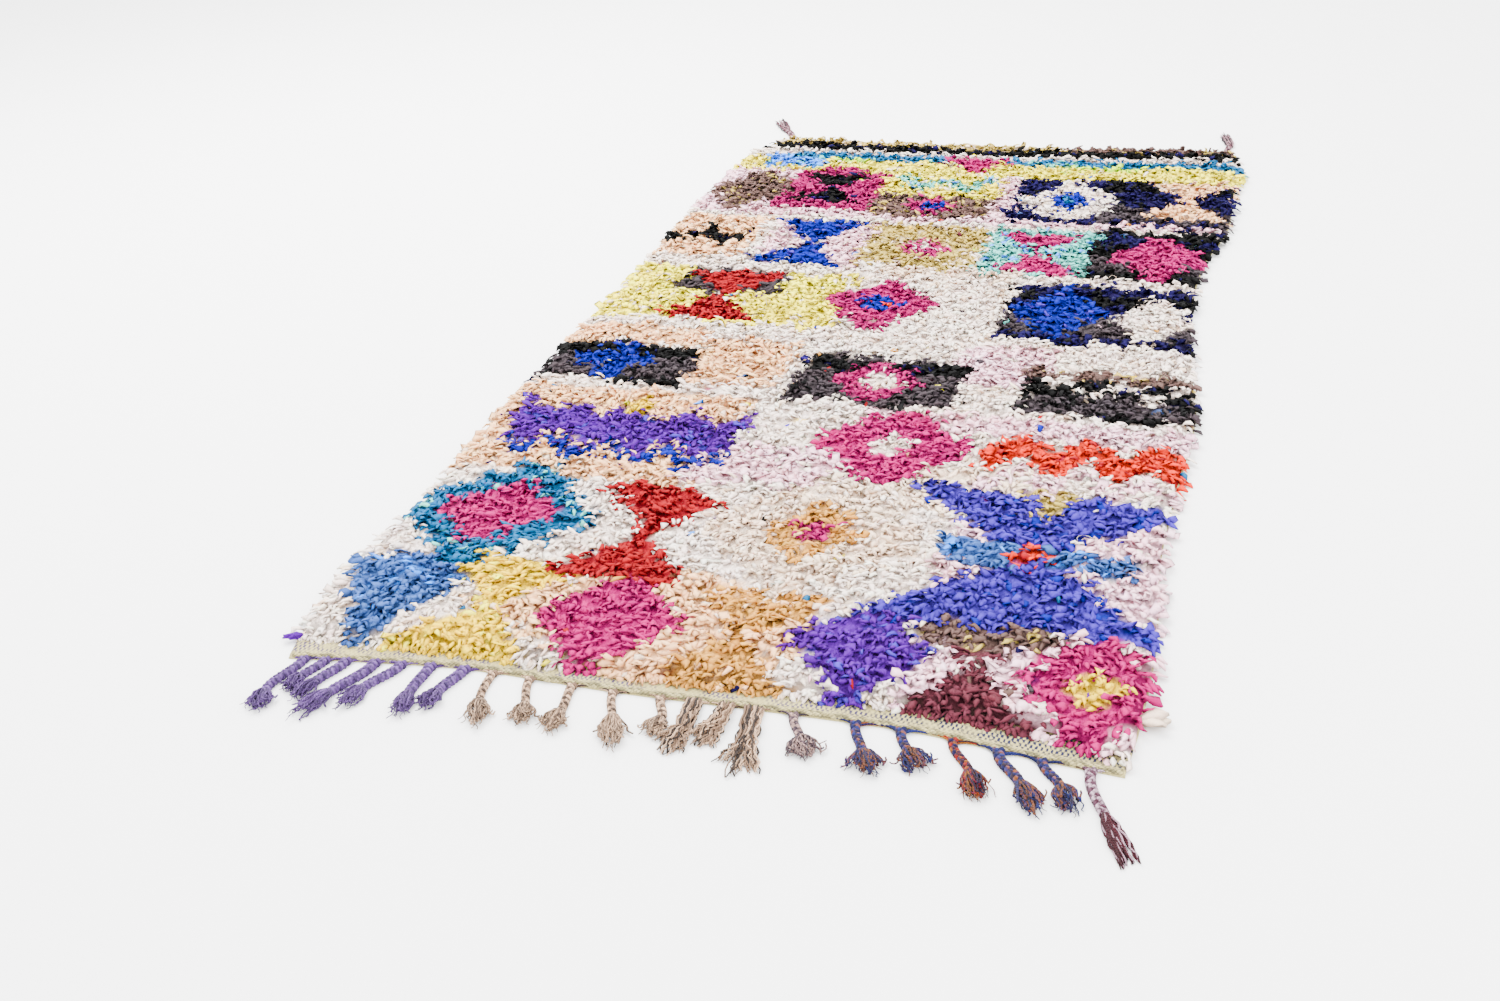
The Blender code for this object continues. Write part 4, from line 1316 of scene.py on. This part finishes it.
def build_far_edge(settings):
    """The heading cord of two twisted plies, and the loose bundles at its ends."""
    finish = yarn_finish("heading yarn", 0.92)
    count, left, right, lay, radius = 420, -0.612, 0.610, 0.013, 0.00135
    x = np.linspace(left, right, count)
    middle = raised(x, far_end(x) + 0.0031, np.full(count, 0.0026))
    paths = []
    for ply in (0.0, math.pi):
        angle = np.linspace(0, 2 * math.pi * (right - left) / lay, count) + ply
        path = middle.copy()
        path[:, 1] += np.cos(angle) * 0.0012
        path[:, 2] += np.sin(angle) * 0.0011
        paths.append(path)
    colours = linear(YARNS["heading"])
    mesh = tubes_mesh("heading", np.array(paths), np.full((2, count), radius), colours, 6)
    add_piece("heading", mesh, finish, "lilac", "heading_cord")

    rng = np.random.default_rng(SEED + 200)
    pitch, ahead = settings.plait_pitch * 1.5, np.array([0.0, 1.0])
    for name, plait in FAR_BUNDLES.items():
        root = in_row(plait.root, far_end(plait.root) + 0.0055)
        head, tip = in_row(*plait.head), in_row(*plait.tip)
        way = towards(head, tip)
        start = head - way * 0.03
        width, knot = plait.width, plait.knot
        meshes = [
            braid_mesh(name, plait, root, ahead, head, way, pitch),
            brush_mesh(name, plait.yarns, width, knot, start, way, tip, 40, rng),
        ]
        join_meshes(name + "_yarns", meshes, finish, "lilac", name)


def build_stage(settings):
    """The floor, the studio light and the camera at the photograph's place."""
    scene = bpy.context.scene
    bpy.ops.object.select_all(action="DESELECT")
    bpy.ops.mesh.primitive_plane_add(size=30.0, location=(0.0, 0.0, 0.0))
    floor = bpy.context.object
    floor.name = "studio_floor"
    floor.data.materials.append(floor_finish(list(settings.floor_colour)))

    for lamp in LAMPS:
        light = bpy.data.lights.new(lamp.name, "AREA")
        light.energy = lamp.power
        light.size = lamp.size
        made = bpy.data.objects.new(lamp.name, light)
        scene.collection.objects.link(made)
        made.location = lamp.place
        made.rotation_euler = Vector(lamp.place).to_track_quat("Z", "Y").to_euler()

    world = bpy.data.worlds.new("studio")
    world.use_nodes = True
    sky = world.node_tree.nodes["Background"]
    sky.inputs["Color"].default_value = (1.0, 1.0, 1.0, 1.0)
    sky.inputs["Strength"].default_value = settings.sky_strength
    scene.world = world

    data = bpy.data.cameras.new("photo_view")
    data.sensor_fit = "HORIZONTAL"
    data.sensor_width = 36.0
    data.lens = CAMERA_LENS
    data.clip_end = 60.0
    camera = bpy.data.objects.new("photo_view", data)
    scene.collection.objects.link(camera)
    right, ahead = np.array(CAMERA_RIGHT), np.array(CAMERA_AHEAD)
    place = (*in_row(*CAMERA_PLACE[:2]), CAMERA_PLACE[2])
    columns = np.column_stack([right, np.cross(right, ahead), -ahead, place])
    camera.matrix_world = Matrix([*columns.tolist(), [0, 0, 0, 1]])
    scene.camera = camera


class PileSettings(bpy.types.PropertyGroup):
    pile_height: FloatProperty(
        name="Pile height",
        description="Height of the rags over the floor",
        default=0.025,
        unit="LENGTH",
    )
    row_spacing: FloatProperty(
        name="Row spacing",
        description="Distance between rows of knots",
        default=0.0262,
        unit="LENGTH",
    )
    knot_spacing: FloatProperty(
        name="Knot spacing",
        description="Distance between knots along a row",
        default=0.0109,
        unit="LENGTH",
    )
    rags_a_piece: IntProperty(
        name="Rags in a piece",
        description="Most rag ends that one mesh holds",
        default=9500,
    )


class YarnSettings(bpy.types.PropertyGroup):
    ground_thickness: FloatProperty(
        name="Ground thickness",
        description="Thickness of the woven ground",
        default=0.004,
        unit="LENGTH",
    )
    plait_pitch: FloatProperty(
        name="Plait pitch",
        description="Length of one full turn of a plait",
        default=0.024,
        unit="LENGTH",
    )
    loose_yarns: IntProperty(
        name="Loose yarns",
        description="Loose yarns past each knot",
        default=66,
    )


class StageSettings(bpy.types.PropertyGroup):
    floor_colour: FloatVectorProperty(
        name="Floor colour",
        description="Colour of the studio floor",
        default=(0.90, 0.90, 0.90),
        subtype="COLOR",
    )
    sky_strength: FloatProperty(
        name="Sky strength",
        description="Strength of the light from all round",
        default=4.6,
    )


class RUG_OT_pile(bpy.types.Operator):
    """Knot the rag pile on its base"""

    bl_idname = "rug.pile"
    bl_label = "Rag pile"

    def execute(self, context):
        build_bed(context.scene.rug_pile)
        build_pile(context.scene.rug_pile)
        build_threads()
        return {"FINISHED"}


class RUG_OT_ground(bpy.types.Operator):
    """Weave the ground with its band at the near end"""

    bl_idname = "rug.ground"
    bl_label = "Ground weave"

    def execute(self, context):
        build_ground(context.scene.rug_yarn, context.scene.rug_pile)
        build_edge_wefts()
        return {"FINISHED"}


class RUG_OT_plaits(bpy.types.Operator):
    """Plait, knot and fray the near warp ends"""

    bl_idname = "rug.plaits"
    bl_label = "Plaits"

    def execute(self, context):
        build_plaits(context.scene.rug_yarn)
        return {"FINISHED"}


class RUG_OT_far_edge(bpy.types.Operator):
    """Lay the heading cord and the far corner bundles"""

    bl_idname = "rug.far_edge"
    bl_label = "Far edge"

    def execute(self, context):
        build_far_edge(context.scene.rug_yarn)
        return {"FINISHED"}


class RUG_OT_stage(bpy.types.Operator):
    """Set the floor, the lights and the camera"""

    bl_idname = "rug.stage"
    bl_label = "Stage"

    def execute(self, context):
        build_stage(context.scene.rug_stage)
        return {"FINISHED"}


class RUG_PT_panel(bpy.types.Panel):
    """The rug's steps, in order"""

    bl_idname = "RUG_PT_panel"
    bl_label = "Boucherouite Rug"
    bl_space_type = "VIEW_3D"
    bl_region_type = "UI"
    bl_category = "Rug"

    def draw(self, context):
        layout = self.layout
        for group, kind in GROUPS.items():
            for key in kind.__annotations__:
                layout.prop(getattr(context.scene, group), key)
        for step in STEPS:
            layout.operator(step.bl_idname)


STEPS = (RUG_OT_ground, RUG_OT_pile, RUG_OT_plaits, RUG_OT_far_edge, RUG_OT_stage)
GROUPS = {"rug_pile": PileSettings, "rug_yarn": YarnSettings, "rug_stage": StageSettings}


def register():
    for kind in (*GROUPS.values(), *STEPS, RUG_PT_panel):
        bpy.utils.register_class(kind)
    for name, kind in GROUPS.items():
        setattr(bpy.types.Scene, name, PointerProperty(type=kind))


def unregister():
    for name in GROUPS:
        delattr(bpy.types.Scene, name)
    for kind in reversed((*GROUPS.values(), *STEPS, RUG_PT_panel)):
        bpy.utils.unregister_class(kind)


def main():
    register()
    bpy.ops.rug.ground()
    bpy.ops.rug.pile()
    bpy.ops.rug.plaits()
    bpy.ops.rug.far_edge()
    bpy.ops.rug.stage()


if __name__ == "__main__":
    main()
